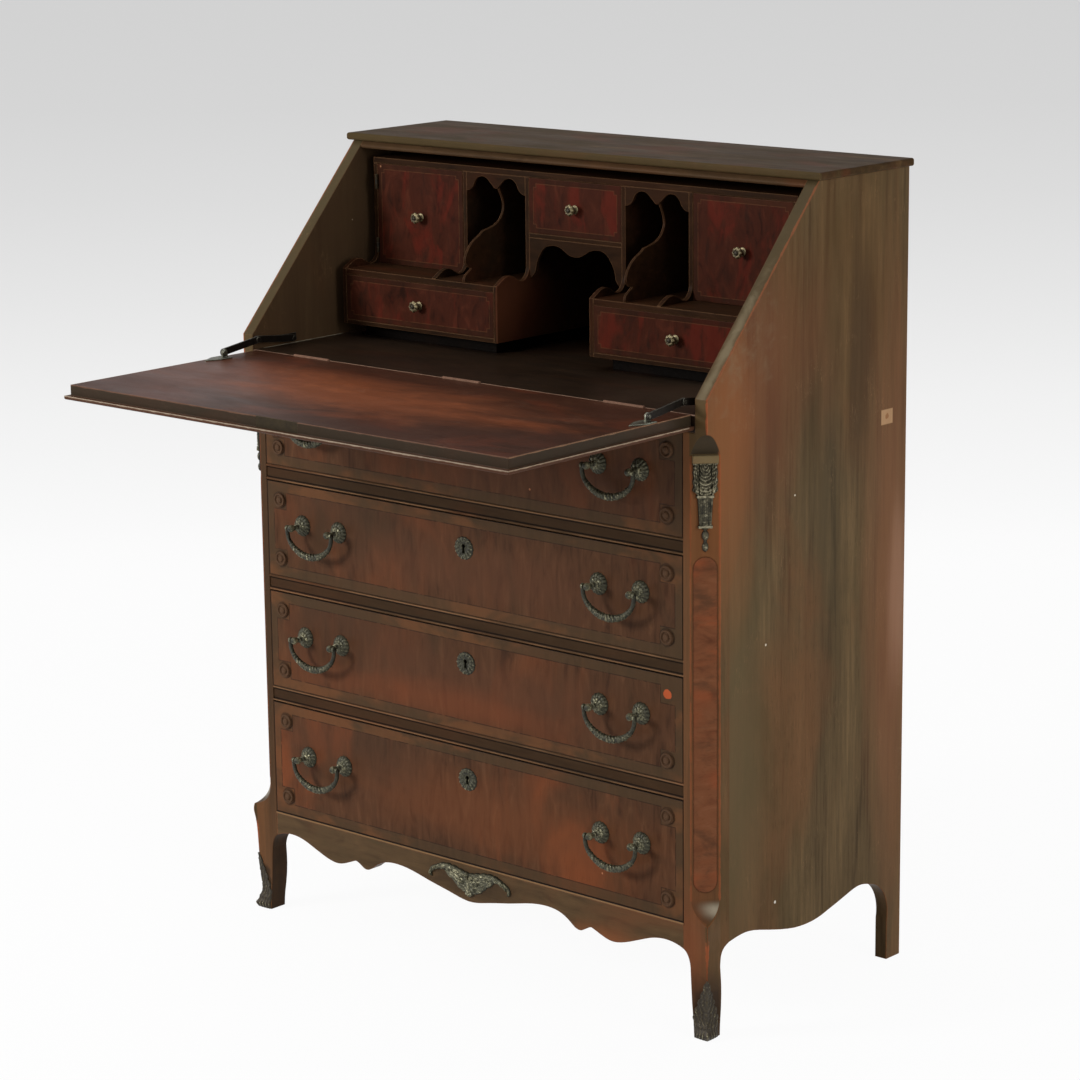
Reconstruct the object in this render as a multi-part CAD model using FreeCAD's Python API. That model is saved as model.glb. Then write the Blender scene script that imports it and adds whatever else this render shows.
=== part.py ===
"""A slant-front desk on short cabriole feet: case, fall lid on elbow stays, long drawers and a fitted gallery.

Lengths are millimetres. While a piece is drawn, x runs from the middle of the case to its right side, y runs
back from the plane of the drawer fronts, and z is the height above the floor. Writing a piece out moves it
along y, so that the origin is the middle of the footprint of the desk with its lid open.
"""
import FreeCAD, Part
import math
import os

Vector = FreeCAD.Vector
X_AXIS = Vector(1, 0, 0)
Y_AXIS = Vector(0, 1, 0)
Z_AXIS = Vector(0, 0, 1)

# Driving sizes of the case
total_height = 1010.0
case_width = 758.0
case_depth = 390.0
side_thickness = 17.0
top_thickness = 9.5
top_overhang = 6.0
top_front_y = 202.5
top_back_overhang = 1.0
writing_height = 752.0
bed_thickness = 21.0
slant_rise_over_bed = 19.0
slant_head_y = 210.0
stile_width = 35.0
post_depth = 42.0
post_shoulder = 15.0
back_thickness = 7.0
back_inset = 1.0
bottom_thickness = 12.0
bottom_height = 118.0
cut = 40.0
joint_gap = 0.3

# Long drawers
drawer_floor = 140.0
rail_height = 20.7
rail_depth = 20.0
bead_radius = 1.9
rail_sink = 1.2
drawer_height_shares = (0.2842, 0.2430, 0.2364, 0.2364)
drawer_front_thickness = 19.0
drawer_side_gap = 0.6
drawer_top_gap = 0.9
drawer_floor_gap = 0.4
drawer_side_thickness = 11.0
drawer_side_inset = 0.9
drawer_back_thickness = 10.0
drawer_back_space = 14.0
drawer_wall_drop = 9.0
drawer_bottom_thickness = 6.0
drawer_bottom_lift = 8.0
roundel_radius = 9.2
roundel_inset = 24.0
roundel_height = 4.0
runner_width = 18.0
runner_thickness = 12.0
guide_height = 12.0
lock_width = 60.0
lock_height = 38.0
lock_thickness = 8.0

# Bail handles and escutcheons
handle_x = 248.0
handle_half_spacing = 32.2
handle_lift = 10.0
rosette_half_width = 12.5
rosette_half_height = 14.0
rosette_height = 9.0
post_reach = 21.0
post_radius = 3.0
post_ball_radius = 4.8
bail_pin_radius = 1.6
bail_pin_clearance = 0.08
bail_pin_seat = 2.4
bail_eye_radius = 3.6
bail_eye_gap = 0.4
bail_eye_length = 3.2
bail_radius = 3.1
bail_end_radius = 2.1
bail_drop = 33.0
escutcheon_half_width = 13.5
escutcheon_half_height = 14.5
escutcheon_thickness = 2.2
keyhole_radius = 2.3
keyhole_slot = 6.5
keyhole_below_top = 41.0

# Canted corners and front feet
cant_leg = 24.3
cant_cove_height = 26.0
scoop_top = 175.0
knee_height = 143.0
knee_proud = 3.5
foot_top = 86.0
foot_width = 25.0
foot_curve_rise = 20.5
sabot_thickness = 1.6
sabot_seat_gap = 0.1
sabot_height = 9.0
sabot_half_width = 15.0
sabot_leaf_height = 80.0
panel_half_width = 14.2
panel_foot_gap = 3.5
panel_head_gap = 4.5
panel_thickness = 1.6
panel_proud = 0.5

# Hanging mounts on the cants and the mount on the apron
mount_drop = 26.0
mount_cap_height = 9.0
mount_cap_half_width = 15.0
mount_cap_thickness = 7.0
mount_head_height = 40.0
mount_head_half_width = 13.8
mount_head_thickness = 5.5
mount_body_height = 34.0
mount_body_half_width = 9.0
mount_body_end_half_width = 7.5
mount_body_thickness = 4.0
mount_collar_height = 3.5
mount_collar_half_width = 9.2
mount_finial_height = 29.0
mount_finial_radius = 4.3
apron_mount_half_width = 67.0
apron_mount_top = 133.0
apron_mount_bottom = 95.0
apron_mount_thickness = 5.5

# Foot line of the apron and of the sides
apron_thickness = 17.0
apron_line_low = 89.5
apron_line_high = 112.5
side_line_low = 93.3
side_line_high = 115.4
back_foot_width = 28.0
back_foot_curve_height = 52.0

# Lid, its hinges and its lock
lid_body_inset = 6.2
lid_lip_inset = 1.2
lid_lip_thickness = 4.7
lid_lip_overhang = 6.4
lid_seat_gap = 0.3
lid_end_gap = 0.8
lid_nose_radius = 2.0
rail_drop = 10.0
top_rail_ledge = 6.85
hinge_barrel_radius = 2.2
hinge_pin_radius = 1.1
hinge_pin_clearance = 0.05
hinge_leaf_thickness = 1.3
hinge_leaf_height = 11.0
hinge_length = 60.0
hinge_knuckle_gap = 0.3
hinge_barrel_room = 0.5
hinge_line_gap = 0.25
hinge_place_shares = (-0.72, 0.0, 0.72)
lock_plate_half_width = 34.0
lock_plate_thickness = 1.5
lid_lock_depth = 30.0
lid_lock_height = 8.0

# Elbow stays: the two links and the two fixed pins make a parallelogram round the hinge line
stay_lid_pin_forward = 65.0
stay_case_pin_back = 61.0
stay_lid_pin_rise = 7.0
stay_case_pin_rise = 8.0
stay_link_half_width = 4.4
stay_link_thickness = 2.0
stay_link_gap = 0.4
stay_pin_radius = 2.0
stay_pin_clearance = 0.08
stay_rivet_radius = 3.4
stay_rivet_height = 1.2
stay_wall_inset = 11.0
stay_plate_thickness = 1.5
stay_wall_plate_length = 30.0
stay_lid_plate_length = 38.0
stay_lid_plate_half_width = 8.0
stay_lug_width = 9.0

# Gallery
gallery_end_gap = 16.0
plinth_setback = 20.0
lower_front_y = 150.0
upper_front_y = 212.0
lower_top_thickness = 7.5
lower_bottom_thickness = 5.5
gallery_top_thickness = 7.5
gallery_end_thickness = 6.0
gallery_wall_thickness = 6.0
gallery_back_thickness = 5.0
gallery_back_space = 12.0
kneehole_half_width = 76.0
outer_partition_x = 182.0
centre_rail_height = 5.6
valance_thickness = 4.0
divider_thickness = 3.2
gallery_drawer_gap = 0.5
gallery_front_thickness = 9.0
gallery_box_thickness = 5.0
gallery_box_bottom = 3.0
gallery_knob_radius = 7.2
gallery_knob_reach = 14.0
gallery_drawer_slack = 3.0
# Heights of the gallery as shares of the space over the writing bed
plinth_height_share = 0.0684
lower_case_height_share = 0.289
gallery_top_space_share = 0.0845
centre_drawer_height_share = 0.2825
# Shapes over the lower cases as shares of the height that they stand in
partition_foot_share = 0.1524
valance_foot_share = 0.183
valance_peak_share = 0.0343
kneehole_peak_share = 0.1354
kneehole_spring_share = 0.722
kneehole_foot_share = 0.072
door_thickness = 10.0
door_gap = 0.5
door_free_gap = 1.0
door_hinge_length_share = 0.146
door_hinge_barrel = 1.8
door_hinge_pin = 0.9
door_hinge_leaf = 0.9
door_hinge_reach = 8.0
door_hinge_stand = 0.3
door_hinge_inset_share = 0.1075

# Places worked out from the driving sizes
half_case = case_width / 2
wall = half_case - side_thickness
opening = half_case - stile_width
under_top = total_height - top_thickness
upper_space = under_top - writing_height
slant_foot = writing_height + slant_rise_over_bed
slant_run = slant_head_y
slant_rise = under_top - slant_foot
slant_length = math.hypot(slant_run, slant_rise)
slant_unit = Vector(0, slant_run / slant_length, slant_rise / slant_length)
slant_offset = slant_rise_over_bed * slant_unit.y
closing_angle = 180.0 - math.degrees(math.atan2(slant_rise, slant_run))
back_y = case_depth - back_inset - back_thickness
bed_underside = writing_height - bed_thickness
cant_cove_top = bed_underside
mount_top = bed_underside - mount_drop
mount_low = (mount_top - mount_cap_height - mount_head_height - mount_body_height - mount_collar_height
             - mount_finial_height)
panel_top = mount_low - panel_head_gap
panel_bottom = scoop_top + panel_foot_gap
cant_width = cant_leg * math.sqrt(2)
cant_middle = Vector(half_case - cant_leg / 2, cant_leg / 2, 0)
cant_out = Vector(1, -1, 0).normalize()
cant_along = Vector(1, 1, 0).normalize()

drawer_stack = bed_underside - drawer_floor - 3 * rail_height
drawer_bottoms = []
drawer_tops = []
drawer_level = drawer_floor
for height_share in drawer_height_shares:
    drawer_bottoms.append(drawer_level)
    drawer_tops.append(drawer_level + height_share * drawer_stack)
    drawer_level = drawer_tops[-1] + rail_height
drawer_tops[-1] = bed_underside

rail_underside = under_top - rail_drop
rail_slant_y = slant_run * (rail_underside - slant_foot) / slant_rise
lid_reach = rail_slant_y * slant_unit.y + (rail_underside - writing_height) * slant_unit.z - lid_end_gap
lip_reach = lid_reach + lid_lip_overhang
lid_body_thickness = slant_offset + lid_seat_gap
lid_thickness = lid_body_thickness + lid_lip_thickness
lid_half_body = wall - lid_body_inset
lid_half_lip = wall - lid_lip_inset

gallery_half = wall - gallery_end_gap
gallery_floor = writing_height + plinth_height_share * upper_space
lower_top = gallery_floor + lower_case_height_share * upper_space
gallery_top = under_top - gallery_top_space_share * upper_space
gallery_back_y = back_y - gallery_back_space
gallery_ceiling = gallery_top - gallery_top_thickness
centre_floor = gallery_ceiling - centre_drawer_height_share * upper_space
centre_rail_bottom = centre_floor - centre_rail_height
upper_case_height = gallery_ceiling - lower_top
partition_foot_height = partition_foot_share * upper_case_height
valance_peak = gallery_ceiling - valance_peak_share * upper_case_height
valance_foot = gallery_ceiling - valance_foot_share * upper_case_height
kneehole_height = centre_rail_bottom - lower_top
inner_partition_x = kneehole_half_width + gallery_wall_thickness

front_reach = lip_reach
back_reach = case_depth + top_back_overhang
origin_shift = (front_reach - back_reach) / 2

os.makedirs("parts", exist_ok=True)


# Small makers

def box(x_low, x_high, y_low, y_high, z_low, z_high):
    """A block between two corners."""
    return Part.makeBox(x_high - x_low, y_high - y_low, z_high - z_low, Vector(x_low, y_low, z_low))


def mirrored(shape):
    """The same shape on the other side of the middle plane."""
    return shape.mirror(Vector(0, 0, 0), X_AXIS)


def pair(shape):
    """A shape and its mirror image, as a list."""
    return [shape, mirrored(shape)]


def rod(start, direction, radius, length):
    """A round bar from a point along a direction."""
    return Part.makeCylinder(radius, length, start, direction)


def line(start, end):
    """A straight edge."""
    return Part.LineSegment(start, end).toShape()


def curve(points):
    """A smooth edge through points."""
    spline = Part.BSplineCurve()
    spline.interpolate(points)
    return spline.toShape()


def arc(start, middle, end):
    """A round edge through three points."""
    return Part.Arc(start, middle, end).toShape()


def slab(edges, thickness_vector):
    """The closed outline pushed along a vector."""
    return Part.Face(Part.Wire(edges)).extrude(thickness_vector)


def polygon(points):
    """Straight edges round a list of points."""
    return [line(points[i], points[(i + 1) % len(points)]) for i in range(len(points))]


def turned(profile, centre, axis, side):
    """A solid of revolution: profile points are (radius, height along the axis)."""
    points = [centre + side * radius + axis * height for radius, height in profile]
    return Part.Face(Part.Wire(polygon(points))).revolve(centre, axis, 360)


def joined(shapes):
    """One solid made of touching or overlapping solids."""
    return shapes[0].fuse(shapes[1:]).removeSplitter()


def write(node, shapes):
    """Moves the solids of a node to the origin of the desk and stores them."""
    solids = []
    for shape in shapes:
        solids += shape.Solids
    group = solids[0] if len(solids) == 1 else Part.makeCompound(solids)
    group = group.copy()
    group.translate(Vector(0, origin_shift, 0))
    group.exportStep("parts/" + node + ".step")
    print("%-28s solids %2d  volume %10.1f  valid %s" % (node, len(solids), group.Volume, group.isValid()))


# Case sides, corner posts and feet

side_foot_shares = (
    (0.995, -0.643), (0.967, 0.063), (0.927, 0.516), (0.872, 0.790), (0.820, 0.923), (0.755, 0.787),
    (0.690, 0.538), (0.625, 0.317), (0.5625, 0.100), (0.498, 0.000), (0.403, 0.060), (0.309, 0.321),
    (0.217, 0.665), (0.156, 0.891), (0.095, 1.000), (0.034, 0.928), (0.000, 0.846))
scoop_shares = ((0.00, 1.00), (0.05, 0.62), (0.25, 0.30), (0.60, 0.10), (1.00, 0.00))
cove_shares = ((0.00, 0.00), (0.10, 0.25), (0.25, 0.50), (0.42, 0.72), (0.66, 0.90), (1.00, 1.00))
foot_section_shares = (
    (0.000, 0.78, 0.97, 0.17), (0.081, 0.79, 0.98, 0.63), (0.256, 0.83, 1.02, -0.69), (0.349, 0.86, 1.05, -0.86),
    (0.512, 0.91, 1.08, -0.51), (0.721, 0.95, 1.08, -0.06), (1.000, 1.00, 1.00, 0.26), (1.395, 1.00, 1.00, 0.69),
    (1.663, 1.00, 1.00, 1.00), (1.744, 1.00, 1.00, 0.55), (1.837, 1.00, 1.00, 0.20), (1.930, 1.00, 1.00, 0.00))
foot_curve_shares = ((0.000, 0.000), (0.130, 0.366), (0.340, 0.634), (0.640, 0.854), (1.000, 1.000))
side_curve_shares = ((0.000, 0.000), (0.035, 0.270), (0.120, 0.540), (0.350, 0.770), (0.650, 0.905), (1.000, 1.000))


def case_side():
    """The right side: slanted front edge, notch for the corner post, flowing foot line and back foot."""
    back_foot_y = case_depth - back_foot_width
    line_rise = side_line_high - side_line_low
    run = back_foot_y - post_depth
    start = Vector(wall, back_foot_y, back_foot_curve_height)
    flow = [start] + [Vector(wall, post_depth + share * run, side_line_low + rise * line_rise)
                      for share, rise in side_foot_shares]
    shoulder = bed_underside + post_shoulder
    outline = [line(Vector(wall, 0, slant_foot), Vector(wall, slant_head_y, under_top)),
               line(Vector(wall, slant_head_y, under_top), Vector(wall, case_depth, under_top)),
               line(Vector(wall, case_depth, under_top), Vector(wall, case_depth, 0)),
               line(Vector(wall, case_depth, 0), Vector(wall, back_foot_y, 0)),
               line(Vector(wall, back_foot_y, 0), start),
               curve(flow),
               line(flow[-1], Vector(wall, post_depth, shoulder)),
               line(Vector(wall, post_depth, shoulder), Vector(wall, 0, shoulder)),
               line(Vector(wall, 0, shoulder), Vector(wall, 0, slant_foot))]
    return slab(outline, X_AXIS * side_thickness)


def cant_cutter():
    """What the canted corner loses: a long wedge, ending above in a steep cove and below in a hollow scoop."""
    reach = cant_width / 2 + knee_proud * math.sqrt(2)
    base = cant_middle
    drop = scoop_top - knee_height
    low = [base + cant_out * (share * reach) + Z_AXIS * (knee_height + rise * drop) for share, rise in scoop_shares]
    outer_low = base + cant_out * (reach + cut) + Z_AXIS * knee_height
    cove_reach = cant_width / 2
    cove = [base + cant_out * (share * cove_reach) + Z_AXIS * (cant_cove_top - cant_cove_height * (1 - rise))
            for share, rise in cove_shares]
    outer_high = Vector(outer_low.x, outer_low.y, cant_cove_top)
    outline = [curve(low), line(low[-1], outer_low), line(outer_low, outer_high), line(outer_high, cove[-1]),
               curve(cove), line(cove[0], low[0])]
    wedge = slab(outline, cant_along * (2 * cut))
    wedge.translate(cant_along * -cut)
    return wedge


def foot_quads(outer):
    """Closed four-cornered sections of the front foot, from the floor up, with the outer corner on its flowing line.

    outer widens the two outer faces.
    """
    wires = []
    for height_share, front_share, side_share, proud_share in foot_section_shares:
        height = height_share * foot_top
        proud = knee_proud * proud_share + outer
        inner_x = half_case - foot_width * front_share
        inner_y = foot_width * side_share
        wires.append(Part.Wire(polygon([Vector(inner_x, -outer, height), Vector(half_case + proud, -proud, height),
                                        Vector(half_case + outer, inner_y, height),
                                        Vector(inner_x, inner_y, height)])))
    return wires


def front_foot(outer=0.0):
    """The short cabriole foot: a loft whose outer arris swells at the knee, draws in and turns out at the toe."""
    return Part.makeLoft(foot_quads(outer), True, False)


def foot_curve_cutter():
    """The hollow between the foot and the straight underside, cut from the front and from the side."""
    inner = half_case - foot_width
    below = foot_top - cut
    front_points = [Vector(inner - share * (inner - opening), -cut, foot_top + rise * foot_curve_rise)
                    for share, rise in foot_curve_shares]
    low_x = opening - cut
    end = front_points[-1]
    front = [curve(front_points), line(end, Vector(low_x, -cut, end.z)),
             line(Vector(low_x, -cut, end.z), Vector(low_x, -cut, below)),
             line(Vector(low_x, -cut, below), Vector(inner, -cut, below)),
             line(Vector(inner, -cut, below), front_points[0])]
    front_cut = slab(front, Y_AXIS * (post_depth + 2 * cut))
    side_x = half_case - 2 * cut
    span = post_depth - foot_width
    end_height = side_line_low + side_foot_shares[-1][1] * (side_line_high - side_line_low)
    side_points = [Vector(side_x, foot_width + share * span, foot_top + rise * (end_height - foot_top))
                   for share, rise in side_curve_shares]
    far_y = post_depth + cut
    side = [curve(side_points), line(side_points[-1], Vector(side_x, far_y, end_height)),
            line(Vector(side_x, far_y, end_height), Vector(side_x, far_y, below)),
            line(Vector(side_x, far_y, below), Vector(side_x, foot_width, below)),
            line(Vector(side_x, foot_width, below), side_points[0])]
    side_cut = slab(side, X_AXIS * (4 * cut))
    return front_cut.fuse(side_cut)


def corner_post():
    """The canted front corner with its arch, capital block, scoop, knee and foot, as one piece of wood."""
    inner = half_case - stile_width
    lower = box(inner, half_case, 0, post_depth, foot_top, bed_underside)
    upper = box(wall, half_case, 0, post_depth, bed_underside, bed_underside + post_shoulder)
    post = lower.fuse(upper).cut(foot_curve_cutter()).fuse(front_foot()).cut(cant_cutter())
    capital = cant_block(mount_cap_half_width, mount_cap_half_width, mount_top - mount_cap_height, mount_top,
                         mount_cap_thickness)
    return joined([post, capital])


sabot_leaf_shares = ((0.00, 1.00), (0.14, 0.96), (0.32, 0.68), (0.52, 0.52), (0.72, 0.28), (0.90, 0.17), (1.00, 0.00))


def sabot():
    """The metal shoe: a thin skin on the outer faces of the toe, with a leaf running up the arris."""
    skin = front_foot(sabot_thickness).cut(front_foot(sabot_seat_gap))
    low = Vector(half_case, 0, 0) - cant_out * (foot_width * 2)
    rise = sabot_leaf_height - sabot_height
    right = [low + cant_along * (sabot_half_width * width) + Z_AXIS * (sabot_height + share * rise)
             for share, width in sabot_leaf_shares]
    left = [low - cant_along * (sabot_half_width * width) + Z_AXIS * (sabot_height + share * rise)
            for share, width in reversed(sabot_leaf_shares)]
    corner_right = low + cant_along * sabot_half_width
    corner_left = low - cant_along * sabot_half_width
    outline = [line(corner_left, corner_right), line(corner_right, right[0]), curve(right), curve(left),
               line(left[-1], corner_left)]
    mask = slab(outline, cant_out * (foot_width * 4))
    return skin.common(mask)


def cant_panel():
    """The long veneer panel with round ends, let into the cant."""
    radius = panel_half_width
    base = cant_middle - cant_out * (panel_thickness - panel_proud)
    left = base - cant_along * radius
    right = base + cant_along * radius
    low = panel_bottom + radius
    high = panel_top - radius
    outline = [line(right + Z_AXIS * low, right + Z_AXIS * high),
               arc(right + Z_AXIS * high, base + Z_AXIS * panel_top, left + Z_AXIS * high),
               line(left + Z_AXIS * high, left + Z_AXIS * low),
               arc(left + Z_AXIS * low, base + Z_AXIS * panel_bottom, right + Z_AXIS * low)]
    return slab(outline, cant_out * panel_thickness)


def cant_block(half_width, top_half_width, low, high, thickness):
    """A block on the face of the cant, tapered from half_width below to top_half_width above."""
    base = cant_middle
    points = [base - cant_along * half_width + Z_AXIS * low, base + cant_along * half_width + Z_AXIS * low,
              base + cant_along * top_half_width + Z_AXIS * high, base - cant_along * top_half_width + Z_AXIS * high]
    return slab(polygon(points), cant_out * thickness)


finial_shares = (
    (0.00, 0.00), (0.45, 0.00), (0.95, 0.10), (1.00, 0.24), (0.85, 0.36), (0.50, 0.43), (0.50, 0.50), (0.85, 0.57),
    (0.95, 0.72), (0.80, 0.88), (0.35, 0.98), (0.00, 1.00))


def corner_mount():
    """The hanging mount: swag head, tapered body, collar and a turned finial half sunk in the cant."""
    head_top = mount_top - mount_cap_height
    head_low = head_top - mount_head_height
    body_low = head_low - mount_body_height
    collar_low = body_low - mount_collar_height
    head = cant_block(mount_head_half_width, mount_head_half_width, head_low, head_top, mount_head_thickness)
    body = cant_block(mount_body_end_half_width, mount_body_half_width, body_low, head_low, mount_body_thickness)
    collar = cant_block(mount_collar_half_width, mount_collar_half_width, collar_low, body_low, mount_body_thickness)
    profile = [(r * mount_finial_radius, h * mount_finial_height) for r, h in finial_shares]
    finial = turned(profile, cant_middle + Z_AXIS * collar_low, Z_AXIS * -1, X_AXIS)
    front = cant_middle - cant_along * cut - Z_AXIS * cut
    keep = slab(polygon([front, front + cant_along * (2 * cut), front + cant_along * (2 * cut) + Z_AXIS * total_height,
                         front + Z_AXIS * total_height]), cant_out * cut)
    return joined([head, body, collar, finial.common(keep)])


right_side = case_side()
right_post = corner_post().cut(cant_panel())
write("left_side", [mirrored(right_side)])
write("right_side", [right_side])
write("corner_posts", pair(right_post))
write("cant_panels", pair(cant_panel()))
write("foot_sabots", pair(sabot()))


# Top, bed, back, bottom and rails

def top_board():
    """The thin top with its rounded nose on the front and both ends."""
    board = box(-half_case - top_overhang, half_case + top_overhang, top_front_y, case_depth + top_back_overhang,
                under_top, total_height)
    nose = [edge for edge in board.Edges
            if abs(edge.CenterOfMass.y - top_front_y) < joint_gap and abs(edge.CenterOfMass.x) < joint_gap
            or abs(abs(edge.CenterOfMass.x) - half_case - top_overhang) < joint_gap
            and abs(edge.CenterOfMass.z - (under_top + total_height) / 2) > top_thickness / 4]
    return board.makeFillet(top_thickness * 0.3, nose)


def top_rail():
    """The rail under the top, with its front planed to the slant."""
    front_low = Vector(-wall, rail_slant_y, rail_underside)
    front_high = Vector(-wall, slant_head_y, under_top)
    back = slant_head_y + top_rail_ledge
    points = [front_low, front_high, Vector(-wall, back, under_top), Vector(-wall, back, rail_underside)]
    rail = slab(polygon(points), X_AXIS * (2 * wall))
    low_front = [edge for edge in rail.Edges
                 if abs(edge.CenterOfMass.y - rail_slant_y) < joint_gap
                 and abs(edge.CenterOfMass.z - rail_underside) < joint_gap]
    return rail.makeFillet(rail_drop * 0.3, low_front)


def drawer_rail(low, high):
    """A rail between two drawers: a sunk flat between two beads."""
    body = box(-opening, opening, rail_sink, rail_depth, low, high)
    shapes = [body]
    for height in (low + bead_radius, high - bead_radius):
        shapes.append(box(-opening, opening, bead_radius, rail_depth / 2, height - bead_radius, height + bead_radius))
        shapes.append(rod(Vector(-opening, bead_radius, height), X_AXIS, bead_radius, 2 * opening))
    return joined(shapes)


apron_line_shares = (
    (0.000, 0.00), (0.096, 0.25), (0.195, 0.56), (0.283, 0.87), (0.356, 0.99), (0.424, 0.85), (0.469, 0.48),
    (0.497, 0.20), (0.515, 0.165), (0.537, 0.32), (0.565, 0.50))
apron_end_shares = (
    (0.565, 0.50), (0.594, 0.33), (0.627, 0.14), (0.656, 0.055), (0.692, 0.11), (0.738, 0.325), (0.786, 0.61),
    (0.833, 0.87), (0.885, 1.00), (0.930, 0.95))


def front_apron():
    """The shaped bottom rail: two flowing lines meet in a cusp on each half, and a bead runs along its top."""
    reach = half_case - foot_width
    rise = apron_line_high - apron_line_low
    right_inner = [Vector(reach * x, 0, apron_line_low + rise * z) for x, z in apron_line_shares]
    right_outer = [Vector(reach * x, 0, apron_line_low + rise * z) for x, z in apron_end_shares]
    right_outer.append(Vector(opening, 0, foot_top + foot_curve_rise))
    left_inner = [Vector(-p.x, p.y, p.z) for p in reversed(right_inner)]
    left_outer = [Vector(-p.x, p.y, p.z) for p in reversed(right_outer)]
    middle = left_inner + right_inner[1:]
    outline = [curve(left_outer), curve(middle), curve(right_outer),
               line(right_outer[-1], Vector(opening, 0, drawer_floor)),
               line(Vector(opening, 0, drawer_floor), Vector(-opening, 0, drawer_floor)),
               line(Vector(-opening, 0, drawer_floor), left_outer[0])]
    board = slab(outline, Y_AXIS * apron_thickness)
    bead = rod(Vector(-opening, bead_radius / 2, drawer_floor - bead_radius), X_AXIS, bead_radius, 2 * opening)
    return joined([board, bead])


def hinge_recessed(shape, side):
    """Cuts the barrel groove and the leaf recess of each hinge into the edge on one side of the hinge line."""
    near = side * hinge_line_gap
    far = side * (hinge_line_gap + hinge_leaf_thickness)
    for centre in hinge_centres:
        half = hinge_length / 2 + joint_gap
        shape = shape.cut(rod(Vector(centre - half, 0, writing_height), X_AXIS,
                              hinge_barrel_radius + hinge_barrel_room, 2 * half))
        shape = shape.cut(box(centre - hinge_length / 2, centre + hinge_length / 2, min(near, far), max(near, far),
                              writing_height - hinge_leaf_height, writing_height))
    return shape


def writing_bed():
    """The fixed board behind the lid, with a groove in its front edge for each hinge."""
    return hinge_recessed(box(-wall, wall, hinge_line_gap, back_y, bed_underside, writing_height), 1)


def drawer_runner(top, thickness):
    """The right runner of one drawer: a flat ledge, and an upright guide beside the drawer."""
    ledge = box(opening - runner_width, opening, rail_depth, back_y, top - thickness, top)
    guide = box(opening, wall, post_depth, back_y, top - thickness, top + guide_height)
    return [ledge, guide]


hinge_centres = [share * lid_half_body for share in hinge_place_shares]
write("top_board", [top_board()])
write("top_rail", [top_rail()])
write("writing_bed", [writing_bed()])
write("front_apron", [front_apron()])
write("drawer_rails", [drawer_rail(drawer_tops[i], drawer_bottoms[i + 1]) for i in range(3)])
write("bottom_board", [box(-wall, wall, post_depth, back_y, bottom_height, bottom_height + bottom_thickness),
                       box(-opening, opening, apron_thickness, post_depth, bottom_height,
                           bottom_height + bottom_thickness)])
write("back_panel", [box(-wall, wall, back_y, case_depth - back_inset, bottom_height, under_top)])
runner_shapes = []
for index, level in enumerate(drawer_bottoms):
    thickness_below = runner_thickness if index else level - bottom_height - bottom_thickness
    for piece in drawer_runner(level, thickness_below):
        runner_shapes += pair(piece)
write("drawer_runners", runner_shapes)


# Castings on the front

apron_mount_shares = (
    (1.00, 0.60), (0.93, 0.95), (0.72, 1.00), (0.45, 0.96), (0.22, 1.00), (0.00, 0.96))
apron_mount_low_shares = (
    (0.00, 0.00), (0.14, 0.10), (0.26, 0.36), (0.45, 0.52), (0.70, 0.68), (0.86, 0.66), (1.00, 0.60))


def apron_mount():
    """The leafy casting at the middle of the apron: a centre drop and two arms that turn down at their ends."""
    rise = apron_mount_top - apron_mount_bottom
    upper = [Vector(apron_mount_half_width * x, 0, apron_mount_bottom + rise * z) for x, z in apron_mount_shares]
    lower = [Vector(apron_mount_half_width * x, 0, apron_mount_bottom + rise * z) for x, z in apron_mount_low_shares]
    left_upper = [Vector(-p.x, p.y, p.z) for p in upper[:-1]]
    left_lower = [Vector(-p.x, p.y, p.z) for p in reversed(lower[1:])]
    outline = [curve(upper + left_upper[::-1]), curve(left_lower + lower)]
    return slab(outline, Y_AXIS * -apron_mount_thickness)


write("front_mounts", pair(corner_mount()) + [apron_mount()])


# Lid with its hinges, lock and stay plates

def lid_board():
    """The fall lid lying open: a body that fits between the sides and a wider, thinner lip below it."""
    body = box(-lid_half_body, lid_half_body, -lid_reach, -hinge_line_gap, writing_height - lid_body_thickness,
               writing_height)
    lip = box(-lid_half_lip, lid_half_lip, -lip_reach, -hinge_line_gap, writing_height - lid_thickness,
              writing_height - lid_body_thickness)
    nose = [edge for edge in lip.Edges
            if abs(edge.CenterOfMass.y + hinge_line_gap) > joint_gap
            and abs(edge.CenterOfMass.z - writing_height + lid_thickness) < joint_gap]
    lip = lip.makeFillet(lid_nose_radius, nose)
    board = hinge_recessed(body.fuse(lip), -1)
    plate = lid_lock_solid()
    return board.cut(plate).removeSplitter()


def lid_lock_solid():
    """The lock in the front edge of the lid: its edge plate and its case behind it."""
    low = writing_height - lid_body_thickness
    plate = box(-lock_plate_half_width, lock_plate_half_width, -lid_reach, -lid_reach + lock_plate_thickness,
                low, writing_height)
    middle = (low + writing_height) / 2
    case = box(-lock_plate_half_width * 0.8, lock_plate_half_width * 0.8, -lid_reach + lock_plate_thickness,
               -lid_reach + lid_lock_depth, middle - lid_lock_height / 2, middle + lid_lock_height / 2)
    return joined([plate, case])


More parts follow.
